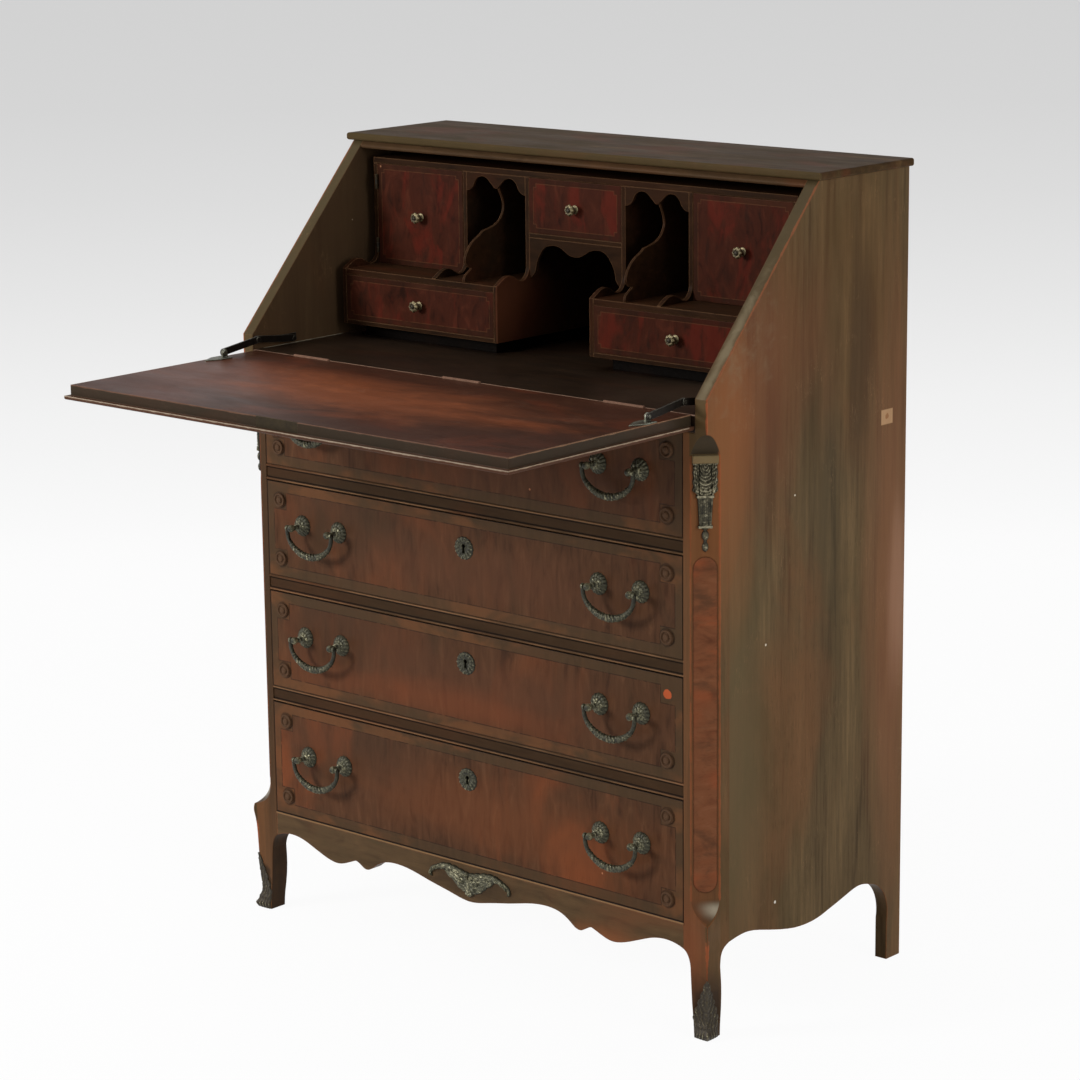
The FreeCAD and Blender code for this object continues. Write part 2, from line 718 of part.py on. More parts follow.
def butt_hinge(length, barrel, pin, leaf, reach):
    """A butt hinge along x at the origin, as two solids.

    The fixed leaf lies on the +y side and has the two end knuckles. The moving leaf has the middle one and the pin.
    """
    origin = Vector(0, 0, 0)
    third = length / 3
    low = -length / 2
    inner = -third / 2
    bore = pin + hinge_pin_clearance
    room = barrel + hinge_barrel_room
    fixed = box(low, -low, hinge_line_gap, hinge_line_gap + leaf, -reach, 0)
    fixed = fixed.cut(rod(origin + X_AXIS * (inner - hinge_knuckle_gap), X_AXIS, room, third + 2 * hinge_knuckle_gap))
    fixed = fixed.fuse([rod(origin + X_AXIS * low, X_AXIS, barrel, third),
                        rod(origin - X_AXIS * inner, X_AXIS, barrel, third)])
    fixed = fixed.cut(rod(origin + X_AXIS * (low - cut), X_AXIS, bore, length + 2 * cut))
    moving = box(low, -low, -hinge_line_gap - leaf, -hinge_line_gap, -reach, 0)
    end_room = third + joint_gap + hinge_knuckle_gap
    moving = moving.cut(rod(origin + X_AXIS * (low - joint_gap), X_AXIS, room, end_room))
    moving = moving.cut(rod(origin - X_AXIS * (inner + hinge_knuckle_gap), X_AXIS, room, end_room))
    knuckle = rod(origin + X_AXIS * (inner + hinge_knuckle_gap), X_AXIS, barrel, third - 2 * hinge_knuckle_gap)
    moving = moving.fuse([knuckle, rod(origin + X_AXIS * low, X_AXIS, pin, length)])
    return fixed.removeSplitter(), moving.removeSplitter()


def moved(shape, place):
    """A copy of the shape at a place."""
    copy = shape.copy()
    copy.translate(place)
    return copy


fixed_leaf, moving_leaf = butt_hinge(hinge_length, hinge_barrel_radius, hinge_pin_radius, hinge_leaf_thickness,
                                     hinge_leaf_height)
hinge_places = [Vector(centre, 0, writing_height) for centre in hinge_centres]
write("case_hinge_leaves", [moved(fixed_leaf, place) for place in hinge_places])
write("lid_hinge_leaves", [moved(moving_leaf, place) for place in hinge_places])
write("lid_board", [lid_board()])
write("lid_lock", [lid_lock_solid()])


# Elbow stays

lid_pin = Vector(0, -stay_lid_pin_forward, writing_height + stay_lid_pin_rise)
case_pin = Vector(0, stay_case_pin_back, writing_height + stay_case_pin_rise)
elbow = Vector(0, lid_pin.y + case_pin.y, writing_height + stay_lid_pin_rise + stay_case_pin_rise)
lug_outer_x = wall - stay_wall_inset - 2 * stay_link_thickness - stay_link_gap
front_link_x = lug_outer_x + stay_link_gap
rear_link_x = front_link_x + stay_link_thickness + stay_link_gap


def link_bar(start, end, x):
    """A flat bar with round ends between two pin centres."""
    direction = (end - start).normalize()
    across = Vector(0, -direction.z, direction.y) * stay_link_half_width
    base = Vector(x, 0, 0)
    outline = [line(base + start + across, base + end + across),
               arc(base + end + across, base + end + direction * stay_link_half_width, base + end - across),
               line(base + end - across, base + start - across),
               arc(base + start - across, base + start - direction * stay_link_half_width, base + start + across)]
    return slab(outline, X_AXIS * stay_link_thickness)


def front_link():
    """The link on the lid, with an eye at the lid pin and the elbow pin standing out of it towards the wall."""
    bar = link_bar(lid_pin, elbow, front_link_x)
    eye = rod(Vector(front_link_x - cut, lid_pin.y, lid_pin.z), X_AXIS, stay_pin_radius + stay_pin_clearance, 2 * cut)
    pin = rod(Vector(front_link_x - stay_rivet_height, elbow.y, elbow.z), X_AXIS, stay_pin_radius,
              2 * stay_link_thickness + stay_link_gap + stay_rivet_height)
    head = rod(Vector(front_link_x - stay_rivet_height, elbow.y, elbow.z), X_AXIS, stay_rivet_radius,
               stay_rivet_height)
    return joined([bar.cut(eye), pin, head])


def rear_link():
    """The link on the case, with an eye at each end."""
    bar = link_bar(case_pin, elbow, rear_link_x)
    for centre in (case_pin, elbow):
        bar = bar.cut(rod(Vector(rear_link_x - cut, centre.y, centre.z), X_AXIS,
                          stay_pin_radius + stay_pin_clearance, 2 * cut))
    return bar


def lid_stay_plate():
    """The pointed plate on the lid, with an upright lug that carries the lid pin."""
    top = writing_height
    inner = lug_outer_x - stay_link_thickness - stay_lid_plate_half_width
    outer = lid_half_body - joint_gap
    rear = lid_pin.y + stay_lug_width / 2
    tip_y = rear - stay_lid_plate_length
    middle = (inner + outer) / 2
    shoulder = (rear + tip_y) / 2
    plate = slab(polygon([Vector(inner, rear, top), Vector(outer, rear, top), Vector(outer, shoulder, top),
                          Vector(middle, tip_y, top), Vector(inner, shoulder, top)]),
                 Z_AXIS * stay_plate_thickness)
    lug_inner = lug_outer_x - stay_link_thickness
    lug = box(lug_inner, lug_outer_x, lid_pin.y - stay_lug_width / 2, rear, top, lid_pin.z)
    cap = rod(Vector(lug_inner, lid_pin.y, lid_pin.z), X_AXIS, stay_lug_width / 2, stay_link_thickness)
    pin = rod(Vector(lug_inner - stay_rivet_height, lid_pin.y, lid_pin.z), X_AXIS, stay_pin_radius,
              2 * stay_link_thickness + stay_link_gap + stay_rivet_height)
    head = rod(Vector(lug_inner - stay_rivet_height, lid_pin.y, lid_pin.z), X_AXIS, stay_rivet_radius,
               stay_rivet_height)
    return joined([plate, lug, cap, pin, head])


def wall_stay_plate():
    """The plate on the inside of the case, with a boss and the case pin."""
    plate = box(wall - stay_plate_thickness, wall, case_pin.y - stay_wall_plate_length / 2,
                case_pin.y + stay_wall_plate_length / 2, case_pin.z - stay_link_half_width,
                case_pin.z + stay_link_half_width)
    boss_low = rear_link_x + stay_link_thickness + stay_link_gap
    boss = rod(Vector(boss_low, case_pin.y, case_pin.z), X_AXIS, stay_rivet_radius,
               wall - stay_plate_thickness - boss_low)
    pin = rod(Vector(rear_link_x - stay_link_gap, case_pin.y, case_pin.z), X_AXIS, stay_pin_radius,
              boss_low - rear_link_x + stay_link_gap)
    head = rod(Vector(rear_link_x - stay_link_gap - stay_rivet_height, case_pin.y, case_pin.z), X_AXIS,
               stay_rivet_radius, stay_rivet_height)
    return joined([plate, boss, pin, head])


write("lid_stay_plates", pair(lid_stay_plate()))
write("wall_stay_plates", pair(wall_stay_plate()))
write("stay_front_link_right", [front_link()])
write("stay_front_link_left", [mirrored(front_link())])
write("stay_rear_link_right", [rear_link()])
write("stay_rear_link_left", [mirrored(rear_link())])


# Long drawers with their hardware

roundel_profile_shares = (
    (0.00, 0.00), (1.00, 0.00), (1.00, 0.55), (0.92, 0.80), (0.76, 0.80), (0.66, 0.45), (0.50, 0.42),
    (0.42, 0.72), (0.30, 0.95), (0.00, 1.00))
rosette_profile_shares = (
    (0.00, 0.00), (1.00, 0.00), (0.97, 0.22), (0.80, 0.48), (0.55, 0.74), (0.30, 1.00), (0.00, 1.00))


def roundel(x, z, front):
    """A turned button with a raised ring, glued on the drawer front."""
    profile = [(r * roundel_radius, h * roundel_height) for r, h in roundel_profile_shares]
    return turned(profile, Vector(x, front, z), Y_AXIS * -1, X_AXIS)


def rosette(x, z):
    """The domed plate behind a handle post, taller than it is wide, with its post and ball."""
    profile = [(r * rosette_half_width, h * rosette_height) for r, h in rosette_profile_shares]
    dome = turned(profile, Vector(0, 0, 0), Y_AXIS * -1, X_AXIS)
    stretch = FreeCAD.Matrix()
    stretch.scale(Vector(1, 1, rosette_half_height / rosette_half_width))
    dome = dome.transformGeometry(stretch)
    dome.translate(Vector(x, 0, z))
    post = rod(Vector(x, 0, z), Y_AXIS * -1, post_radius, post_reach)
    ball = Part.makeSphere(post_ball_radius, Vector(x, -post_reach, z))
    side = 1 if x > 0 else -1
    outward = 1 if abs(x) > handle_x else -1
    direction = X_AXIS * (side * outward)
    bore = rod(Vector(x, -post_reach, z) + direction * (post_ball_radius - bail_pin_seat), direction,
               bail_pin_radius + bail_pin_clearance, post_ball_radius)
    return joined([dome, post, ball]).cut(bore)


def bow_arc(centre, radius, start_angle, end_angle):
    """A round edge in the plane of the bail; angles are measured from straight down towards +x."""
    points = []
    for share in (0.0, 0.5, 1.0):
        angle = start_angle + share * (end_angle - start_angle)
        points.append(centre + Vector(radius * math.sin(angle), 0, -radius * math.cos(angle)))
    return arc(*points)


def wire_along(edges, radius):
    """A round bar along an edge path of lines and tangent arcs."""
    path = Part.Wire(edges)
    start = path.Edges[0].valueAt(path.Edges[0].FirstParameter)
    direction = path.Edges[0].tangentAt(path.Edges[0].FirstParameter)
    section = Part.Wire([Part.Circle(start, direction, radius).toShape()])
    return path.makePipeShell([section], True, False)


def bail(x, z):
    """The hanging handle: a pin and an eye at each end, two short straights, two round corners and a wide bow."""
    pivot = Vector(x, -post_reach, z)
    eye_inner = handle_half_spacing + post_ball_radius + bail_eye_gap
    half_width = eye_inner + bail_eye_length / 2
    shapes = []
    for side in (-1, 1):
        seat = pivot + X_AXIS * (side * (handle_half_spacing + post_ball_radius - bail_pin_seat + bail_eye_gap))
        shapes.append(rod(seat, X_AXIS * side, bail_pin_radius, bail_pin_seat))
        shapes.append(rod(pivot + X_AXIS * (side * eye_inner), X_AXIS * side, bail_eye_radius, bail_eye_length))
    straight = bail_eye_radius * 1.2
    corner = bail_drop * 0.66
    depth = bail_drop - straight
    inner = half_width - corner
    wide = (inner ** 2 + depth ** 2 - corner ** 2) / (2 * (depth - corner))
    turn = math.atan2(inner, wide - depth)
    wide_centre = pivot + Z_AXIS * (wide - bail_drop)
    corner_right = pivot + X_AXIS * inner - Z_AXIS * straight
    corner_left = pivot - X_AXIS * inner - Z_AXIS * straight
    edges = [line(pivot - X_AXIS * half_width, pivot - X_AXIS * half_width - Z_AXIS * straight),
             bow_arc(corner_left, corner, -math.pi / 2, -turn),
             bow_arc(wide_centre, wide, -turn, turn),
             bow_arc(corner_right, corner, turn, math.pi / 2),
             line(pivot + X_AXIS * half_width - Z_AXIS * straight, pivot + X_AXIS * half_width)]
    bar = wire_along(edges, bail_end_radius)
    grip = wire_along([bow_arc(wide_centre, wide, -turn * 0.7, turn * 0.7)], bail_radius)
    return joined([bar, grip] + shapes)


def escutcheon(z):
    """The oval keyhole plate."""
    plate = Part.Face(Part.Wire([Part.Ellipse(Vector(0, 0, 0), escutcheon_half_height,
                                              escutcheon_half_width).toShape()]))
    plate = plate.extrude(Z_AXIS * escutcheon_thickness)
    plate.rotate(Vector(0, 0, 0), Z_AXIS, 90)
    plate.rotate(Vector(0, 0, 0), X_AXIS, 90)
    plate.translate(Vector(0, 0, z))
    return plate.cut(keyhole(z))


def keyhole(z):
    """The keyhole: a round hole over a slot, from the front to the lock."""
    hole = rod(Vector(0, -cut, z + keyhole_radius), Y_AXIS, keyhole_radius,
               cut + drawer_front_thickness - lock_thickness)
    slot = box(-keyhole_radius / 2, keyhole_radius / 2, -cut, drawer_front_thickness - lock_thickness,
               z + keyhole_radius - keyhole_slot, z + keyhole_radius)
    return hole.fuse(slot)


def long_drawer(number, low, high, missing_roundel):
    """Writes the front, box and hardware of one long drawer, and its two bails."""
    front_half = opening - drawer_side_gap
    front_low = low + drawer_floor_gap
    front_high = high - drawer_top_gap
    lock_z = high - keyhole_below_top
    lock = box(-lock_width / 2, lock_width / 2, drawer_front_thickness - lock_thickness, drawer_front_thickness,
               lock_z - lock_height / 2, lock_z + lock_height / 2)
    front = box(-front_half, front_half, 0, drawer_front_thickness, front_low, front_high)
    front = front.cut(lock).cut(keyhole(lock_z))
    places = []
    for x_side in (-1, 1):
        for z in (low + roundel_inset, high - roundel_inset):
            places.append((x_side * (opening - roundel_inset), z))
    if missing_roundel:
        places.pop()
    write("drawer_%d_front" % number, [front] + [roundel(x, z, 0) for x, z in places])
    outer = opening - drawer_side_inset
    inner = outer - drawer_side_thickness
    box_back = back_y - drawer_back_space
    wall_high = high - drawer_wall_drop
    side = box(inner, outer, drawer_front_thickness, box_back, front_low, wall_high)
    back = box(-inner, inner, box_back - drawer_back_thickness, box_back, front_low + drawer_bottom_lift, wall_high)
    bottom = box(-inner, inner, drawer_front_thickness, box_back - drawer_back_thickness,
                 front_low + drawer_bottom_lift, front_low + drawer_bottom_lift + drawer_bottom_thickness)
    write("drawer_%d_box" % number, pair(side) + [back, bottom])
    handle_z = (low + high) / 2 + handle_lift
    posts = []
    for side_sign in (-1, 1):
        for spacing in (-handle_half_spacing, handle_half_spacing):
            posts.append(rosette(side_sign * handle_x + spacing, handle_z))
    write("drawer_%d_hardware" % number, posts + [escutcheon(lock_z), lock])
    write("drawer_%d_bail_left" % number, [bail(-handle_x, handle_z)])
    write("drawer_%d_bail_right" % number, [bail(handle_x, handle_z)])
    print("handle pivot", number, round(handle_z, 3), "y", -post_reach + origin_shift)


for position, (bottom_z, top_z) in enumerate(zip(drawer_bottoms, drawer_tops)):
    long_drawer(4 - position, bottom_z, top_z, position == 1)


# Gallery

partition_foot_shares = (
    (0.00, 0.00), (0.08, 0.16), (0.17, 0.33), (0.27, 0.48), (0.40, 0.54), (0.53, 0.42), (0.65, 0.19), (0.77, 0.09),
    (0.89, 0.22), (0.97, 0.55), (1.00, 1.00))
divider_foot_shares = ((0.00, 0.00), (0.02, 0.065), (0.14, 0.108), (0.22, 0.137))
divider_sweep_shares = (
    (0.22, 0.137), (0.08, 0.164), (0.03, 0.207), (0.06, 0.275), (0.16, 0.349), (0.34, 0.420), (0.50, 0.460),
    (0.58, 0.490))
divider_bulge_shares = (
    (0.58, 0.490), (0.83, 0.515), (1.03, 0.554), (1.16, 0.617), (1.22, 0.696), (1.20, 0.767), (1.11, 0.862),
    (1.06, 0.930), (1.06, 1.000))


def partition(x, floor, thickness):
    """An upright board of the gallery at x: straight above, scooped forward to a scroll at its foot."""
    run = upper_front_y - lower_front_y
    foot = [Vector(x, lower_front_y + share * run, lower_top + rise * partition_foot_height)
            for share, rise in partition_foot_shares]
    outline = [curve(foot), line(foot[-1], Vector(x, upper_front_y, gallery_ceiling)),
               line(Vector(x, upper_front_y, gallery_ceiling), Vector(x, gallery_back_y, gallery_ceiling)),
               line(Vector(x, gallery_back_y, gallery_ceiling), Vector(x, gallery_back_y, floor))]
    if floor < lower_top:
        outline += [line(Vector(x, gallery_back_y, floor), Vector(x, lower_front_y, floor)),
                    line(Vector(x, lower_front_y, floor), foot[0])]
    else:
        outline.append(line(Vector(x, gallery_back_y, floor), foot[0]))
    return slab(outline, X_AXIS * thickness)


def divider(x):
    """The S-shaped divider of a pigeonhole, from the lower case's top to under the cusp of the valance."""
    run = upper_front_y - lower_front_y
    top = valance_peak
    rise = top - lower_top

    def at(share, height_share):
        return Vector(x, lower_front_y + share * run, lower_top + height_share * rise)

    foot = [at(*shares) for shares in divider_foot_shares]
    sweep = [at(*shares) for shares in divider_sweep_shares]
    bulge = [at(*shares) for shares in divider_bulge_shares]
    outline = [curve(foot), curve(sweep), curve(bulge),
               line(bulge[-1], Vector(x, gallery_back_y, top)),
               line(Vector(x, gallery_back_y, top), Vector(x, gallery_back_y, lower_top)),
               line(Vector(x, gallery_back_y, lower_top), foot[0])]
    return slab(outline, X_AXIS * divider_thickness)


valance_shoulder_shares = ((0.000, 1.00), (0.050, 0.94), (0.092, 0.80), (0.120, 0.62))
valance_arch_shares = (
    (0.120, 0.62), (0.145, 0.36), (0.200, 0.08), (0.270, 0.00), (0.345, 0.10), (0.410, 0.38), (0.450, 0.56))
valance_drop_shares = ((0.450, 0.56), (0.475, 0.69), (0.500, 0.73), (0.525, 0.69), (0.550, 0.56))
kneehole_arch_shares = (
    (1.00, 1.00), (0.975, 0.72), (0.90, 0.42), (0.76, 0.10), (0.54, 0.00), (0.34, 0.09), (0.17, 0.29), (0.00, 0.36))


def valance():
    """The right pigeonhole valance: two arches side by side with a cusp between them."""
    left = inner_partition_x
    right = outer_partition_x
    drop = valance_peak - valance_foot

    def at(share, drop_share):
        return Vector(left + share * (right - left), upper_front_y, valance_peak - drop * drop_share)

    def mirrored_shares(shares):
        return [(1 - share, fall) for share, fall in reversed(shares)]

    stretches = [valance_shoulder_shares, valance_arch_shares, valance_drop_shares,
                 mirrored_shares(valance_arch_shares), mirrored_shares(valance_shoulder_shares)]
    outline = [curve([at(*shares) for shares in stretch]) for stretch in stretches]
    outline += [line(at(1.0, 1.0), Vector(right, upper_front_y, gallery_ceiling)),
                line(Vector(right, upper_front_y, gallery_ceiling), Vector(left, upper_front_y, gallery_ceiling)),
                line(Vector(left, upper_front_y, gallery_ceiling), at(0.0, 1.0))]
    return slab(outline, Y_AXIS * valance_thickness)


def kneehole_apron():
    """The shaped board under the centre drawer: two round heads with a dip between them."""
    half = kneehole_half_width
    fall = (kneehole_spring_share - kneehole_peak_share) * kneehole_height
    peak = centre_rail_bottom - kneehole_peak_share * kneehole_height
    leg = half * 0.86
    right = [Vector(leg * x, upper_front_y, peak - fall * z) for x, z in reversed(kneehole_arch_shares)]
    left = [Vector(-p.x, p.y, p.z) for p in reversed(right)]
    arch = left + right[1:]
    foot = lower_top + kneehole_foot_share * kneehole_height
    bend = (arch[-1].z + foot) / 2
    outline = [curve(arch), curve([arch[-1], Vector(half * 0.9, upper_front_y, bend), Vector(half, upper_front_y, foot)]),
               line(Vector(half, upper_front_y, foot), Vector(half, upper_front_y, centre_rail_bottom)),
               line(Vector(half, upper_front_y, centre_rail_bottom), Vector(-half, upper_front_y, centre_rail_bottom)),
               line(Vector(-half, upper_front_y, centre_rail_bottom), Vector(-half, upper_front_y, foot)),
               curve([Vector(-half, upper_front_y, foot), Vector(-half * 0.9, upper_front_y, bend), arch[0]])]
    return slab(outline, Y_AXIS * valance_thickness)


def gallery_shelves():
    """The flat boards of the gallery: its top, the lower cases' tops and bottoms, their plinths, the centre shelf."""
    shelves = [box(-gallery_half, gallery_half, upper_front_y, gallery_back_y, gallery_ceiling, gallery_top)]
    shelves.append(box(-kneehole_half_width, kneehole_half_width, upper_front_y, gallery_back_y,
                       centre_rail_bottom, centre_floor))
    inner_end = gallery_half - gallery_end_thickness
    shelves += pair(box(inner_partition_x, inner_end, lower_front_y, gallery_back_y,
                        lower_top - lower_top_thickness, lower_top))
    shelves += pair(box(inner_partition_x, inner_end, lower_front_y, gallery_back_y,
                        gallery_floor, gallery_floor + lower_bottom_thickness))
    shelves += pair(box(kneehole_half_width + plinth_setback, gallery_half - plinth_setback,
                        lower_front_y + plinth_setback, gallery_back_y, writing_height, gallery_floor))
    return shelves


door_high = gallery_ceiling - door_gap
door_low = lower_top + door_gap
door_hinge_length = door_hinge_length_share * (door_high - door_low)
door_hinge_inset = door_hinge_inset_share * (door_high - door_low)
door_hinge_axis = Vector(gallery_half - gallery_end_thickness - hinge_line_gap,
                         upper_front_y - door_hinge_barrel - door_hinge_stand, 0)
door_hinge_heights = [door_low + door_hinge_inset + door_hinge_length / 2,
                      door_high - door_hinge_inset - door_hinge_length / 2]


def door_leaf_recess(side):
    """The shallow recesses of both hinge leaves, on the board side (1) or on the door side (-1) of the hinge line."""
    near = door_hinge_axis.x + side * hinge_line_gap
    far = near + side * door_hinge_leaf
    recess = [box(min(near, far), max(near, far), door_hinge_axis.y, door_hinge_axis.y + door_hinge_reach,
                  height - door_hinge_length / 2, height + door_hinge_length / 2) for height in door_hinge_heights]
    return recess[0].fuse(recess[1])


def upright(shape, place):
    """A copy of a hinge leaf made along x, stood along z with its leaf pointing back, at a place on the left side."""
    copy = shape.copy()
    copy.rotate(Vector(0, 0, 0), Y_AXIS, -90)
    copy.rotate(Vector(0, 0, 0), Z_AXIS, 90)
    copy.translate(place)
    return copy


def gallery_door():
    """The right door of the gallery, a flat panel hinged on its outer edge."""
    panel = box(outer_partition_x + gallery_wall_thickness + door_free_gap,
                door_hinge_axis.x - hinge_line_gap, upper_front_y, upper_front_y + door_thickness,
                door_low, door_high)
    return panel.cut(door_leaf_recess(-1))


def gallery_knob(centre):
    """A turned knob on a small round base, standing forward from a drawer or door."""
    profile = [(r * gallery_knob_radius, h * gallery_knob_reach) for r, h in knob_profile_shares]
    return turned(profile, centre, Y_AXIS * -1, X_AXIS)


knob_profile_shares = (
    (0.00, 0.00), (0.70, 0.00), (0.70, 0.10), (0.42, 0.16), (0.42, 0.50), (0.80, 0.58), (1.00, 0.74), (0.86, 0.90),
    (0.45, 1.00), (0.00, 1.00))

write("gallery_shelves", gallery_shelves())
end_board = partition(gallery_half - gallery_end_thickness, gallery_floor, gallery_end_thickness)
write("gallery_partitions", pair(end_board.cut(door_leaf_recess(1)))
      + pair(partition(kneehole_half_width, gallery_floor, gallery_wall_thickness))
      + pair(partition(outer_partition_x, lower_top, gallery_wall_thickness)))
fixed_door_leaf, moving_door_leaf = butt_hinge(door_hinge_length, door_hinge_barrel, door_hinge_pin,
                                               door_hinge_leaf, door_hinge_reach)
left_hinge_places = [Vector(-door_hinge_axis.x, door_hinge_axis.y, height) for height in door_hinge_heights]
left_fixed = [upright(fixed_door_leaf, place) for place in left_hinge_places]
left_moving = [upright(moving_door_leaf, place) for place in left_hinge_places]
write("gallery_door_hinge_leaves", left_fixed + [mirrored(leaf) for leaf in left_fixed])
right_door = gallery_door()
door_middle = Vector((outer_partition_x + gallery_wall_thickness + gallery_half - gallery_end_thickness) / 2,
                     upper_front_y, (door_low + door_high) / 2)
door_knob = gallery_knob(door_middle)
write("gallery_door_right", [right_door])
write("gallery_door_left", [mirrored(right_door)])
write("gallery_door_right_hardware", [door_knob] + [mirrored(leaf) for leaf in left_moving])
write("gallery_door_left_hardware", [mirrored(door_knob)] + left_moving)
divider_x = (inner_partition_x + outer_partition_x) / 2 - divider_thickness / 2
right_divider = divider(divider_x)
write("gallery_dividers", pair(right_divider.cut(valance())))
write("gallery_valances", pair(valance()) + [kneehole_apron()])
write("gallery_back", [box(-gallery_half, gallery_half, gallery_back_y, gallery_back_y + gallery_back_thickness,
                           gallery_floor, gallery_top)])


def gallery_drawer(name, x_low, x_high, front_y, z_low, z_high):
    """Writes the box and the knob of one small drawer of the gallery."""
    gap = gallery_drawer_gap
    left = x_low + gap
    right = x_high - gap
    low = z_low + gap / 2
    high = z_high - gap
    rear = gallery_back_y - gallery_drawer_slack
    t = gallery_box_thickness
    inside_y = front_y + gallery_front_thickness
    front = box(left, right, front_y, inside_y, low, high)
    wall_high = high - gap * 2
    left_wall = box(left, left + t, inside_y, rear, low, wall_high)
    right_wall = box(right - t, right, inside_y, rear, low, wall_high)
    back = box(left + t, right - t, rear - t, rear, low, wall_high)
    bottom = box(left + t, right - t, inside_y, rear - t, low, low + gallery_box_bottom)
    write("gallery_drawer_" + name, [front, left_wall, right_wall, back, bottom])
    centre = Vector((left + right) / 2, front_y, (low + high) / 2)
    write("gallery_knob_" + name, [gallery_knob(centre)])


inner_end = gallery_half - gallery_end_thickness
lower_opening_low = gallery_floor + lower_bottom_thickness
lower_opening_high = lower_top - lower_top_thickness
gallery_drawer("lower_right", inner_partition_x, inner_end, lower_front_y, lower_opening_low, lower_opening_high)
gallery_drawer("lower_left", -inner_end, -inner_partition_x, lower_front_y, lower_opening_low, lower_opening_high)
gallery_drawer("centre", -kneehole_half_width, kneehole_half_width, upper_front_y, centre_floor, gallery_ceiling)

print("nodes written", len(os.listdir("parts")))
print("closing angle", closing_angle, "origin shift", origin_shift, "lid reach", lid_reach, "lip reach", lip_reach)
print("lid hinge y z", origin_shift, writing_height)
print("door hinge", door_hinge_axis.x, door_hinge_axis.y + origin_shift, "door", door_low, door_high)
print("lid pin", lid_pin.y + origin_shift, lid_pin.z, "case pin", case_pin.y + origin_shift, case_pin.z)
print("elbow", elbow.y + origin_shift, elbow.z, "drawers", drawer_bottoms, drawer_tops)
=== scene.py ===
"""Dresses the slant-front desk: its cast bronze fittings, its worn shellacked woods and a plain pale room.

Places are metres in the frame of the desk. Sizes that are written in millimetres are multiplied by MM.
"""
import logging
import math
from dataclasses import dataclass, replace
from enum import Enum
from typing import Callable, Sequence

import bmesh
import bpy
import numpy as np
from mathutils import Matrix, Vector


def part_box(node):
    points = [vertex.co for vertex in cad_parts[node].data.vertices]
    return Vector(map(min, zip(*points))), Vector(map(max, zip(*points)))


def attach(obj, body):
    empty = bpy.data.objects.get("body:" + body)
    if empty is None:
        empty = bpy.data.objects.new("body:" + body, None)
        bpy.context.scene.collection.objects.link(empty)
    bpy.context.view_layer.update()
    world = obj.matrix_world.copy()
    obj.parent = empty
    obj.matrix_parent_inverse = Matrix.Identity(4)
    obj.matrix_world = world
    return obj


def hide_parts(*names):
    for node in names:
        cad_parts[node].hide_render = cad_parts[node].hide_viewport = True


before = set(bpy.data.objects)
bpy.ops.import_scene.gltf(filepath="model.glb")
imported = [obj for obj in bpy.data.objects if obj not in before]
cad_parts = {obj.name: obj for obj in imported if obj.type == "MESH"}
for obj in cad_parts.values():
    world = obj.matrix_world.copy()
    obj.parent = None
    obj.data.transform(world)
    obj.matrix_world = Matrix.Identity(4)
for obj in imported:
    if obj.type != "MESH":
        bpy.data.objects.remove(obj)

log = logging.getLogger("desk")
MM = 0.001
Colour = tuple[float, float, float]
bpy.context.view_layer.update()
FRONT_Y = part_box("left_side")[0].y


def srgb(red: int, green: int, blue: int) -> Colour:
    """A colour written in screen values, as the linear values that a shader takes.

    Each channel c is c / 12.92 where it is small, and ((c + 0.055) / 1.055) ** 2.4 elsewhere.

    Args:
        red: Red, 0 to 255.
        green: Green, 0 to 255.
        blue: Blue, 0 to 255.

    Returns:
        The three linear channels.
    """
    channels = []
    for value in (red, green, blue):
        share = value / 255
        channels.append(share / 12.92 if share <= 0.04045 else ((share + 0.055) / 1.055) ** 2.4)
    return tuple(channels)


# Meshes worked out on grids


def smooth_step(value: np.ndarray, low: float, high: float) -> np.ndarray:
    """Zero below low, one above high, and 3t^2 - 2t^3 between them."""
    t = np.clip((value - low) / (high - low), 0.0, 1.0)
    return t * t * (3 - 2 * t)


def hump(value: np.ndarray, centre: float, width: float) -> np.ndarray:
    """A round ridge: exp(-((value - centre) / width)^2)."""
    return np.exp(-(((value - centre) / width) ** 2))


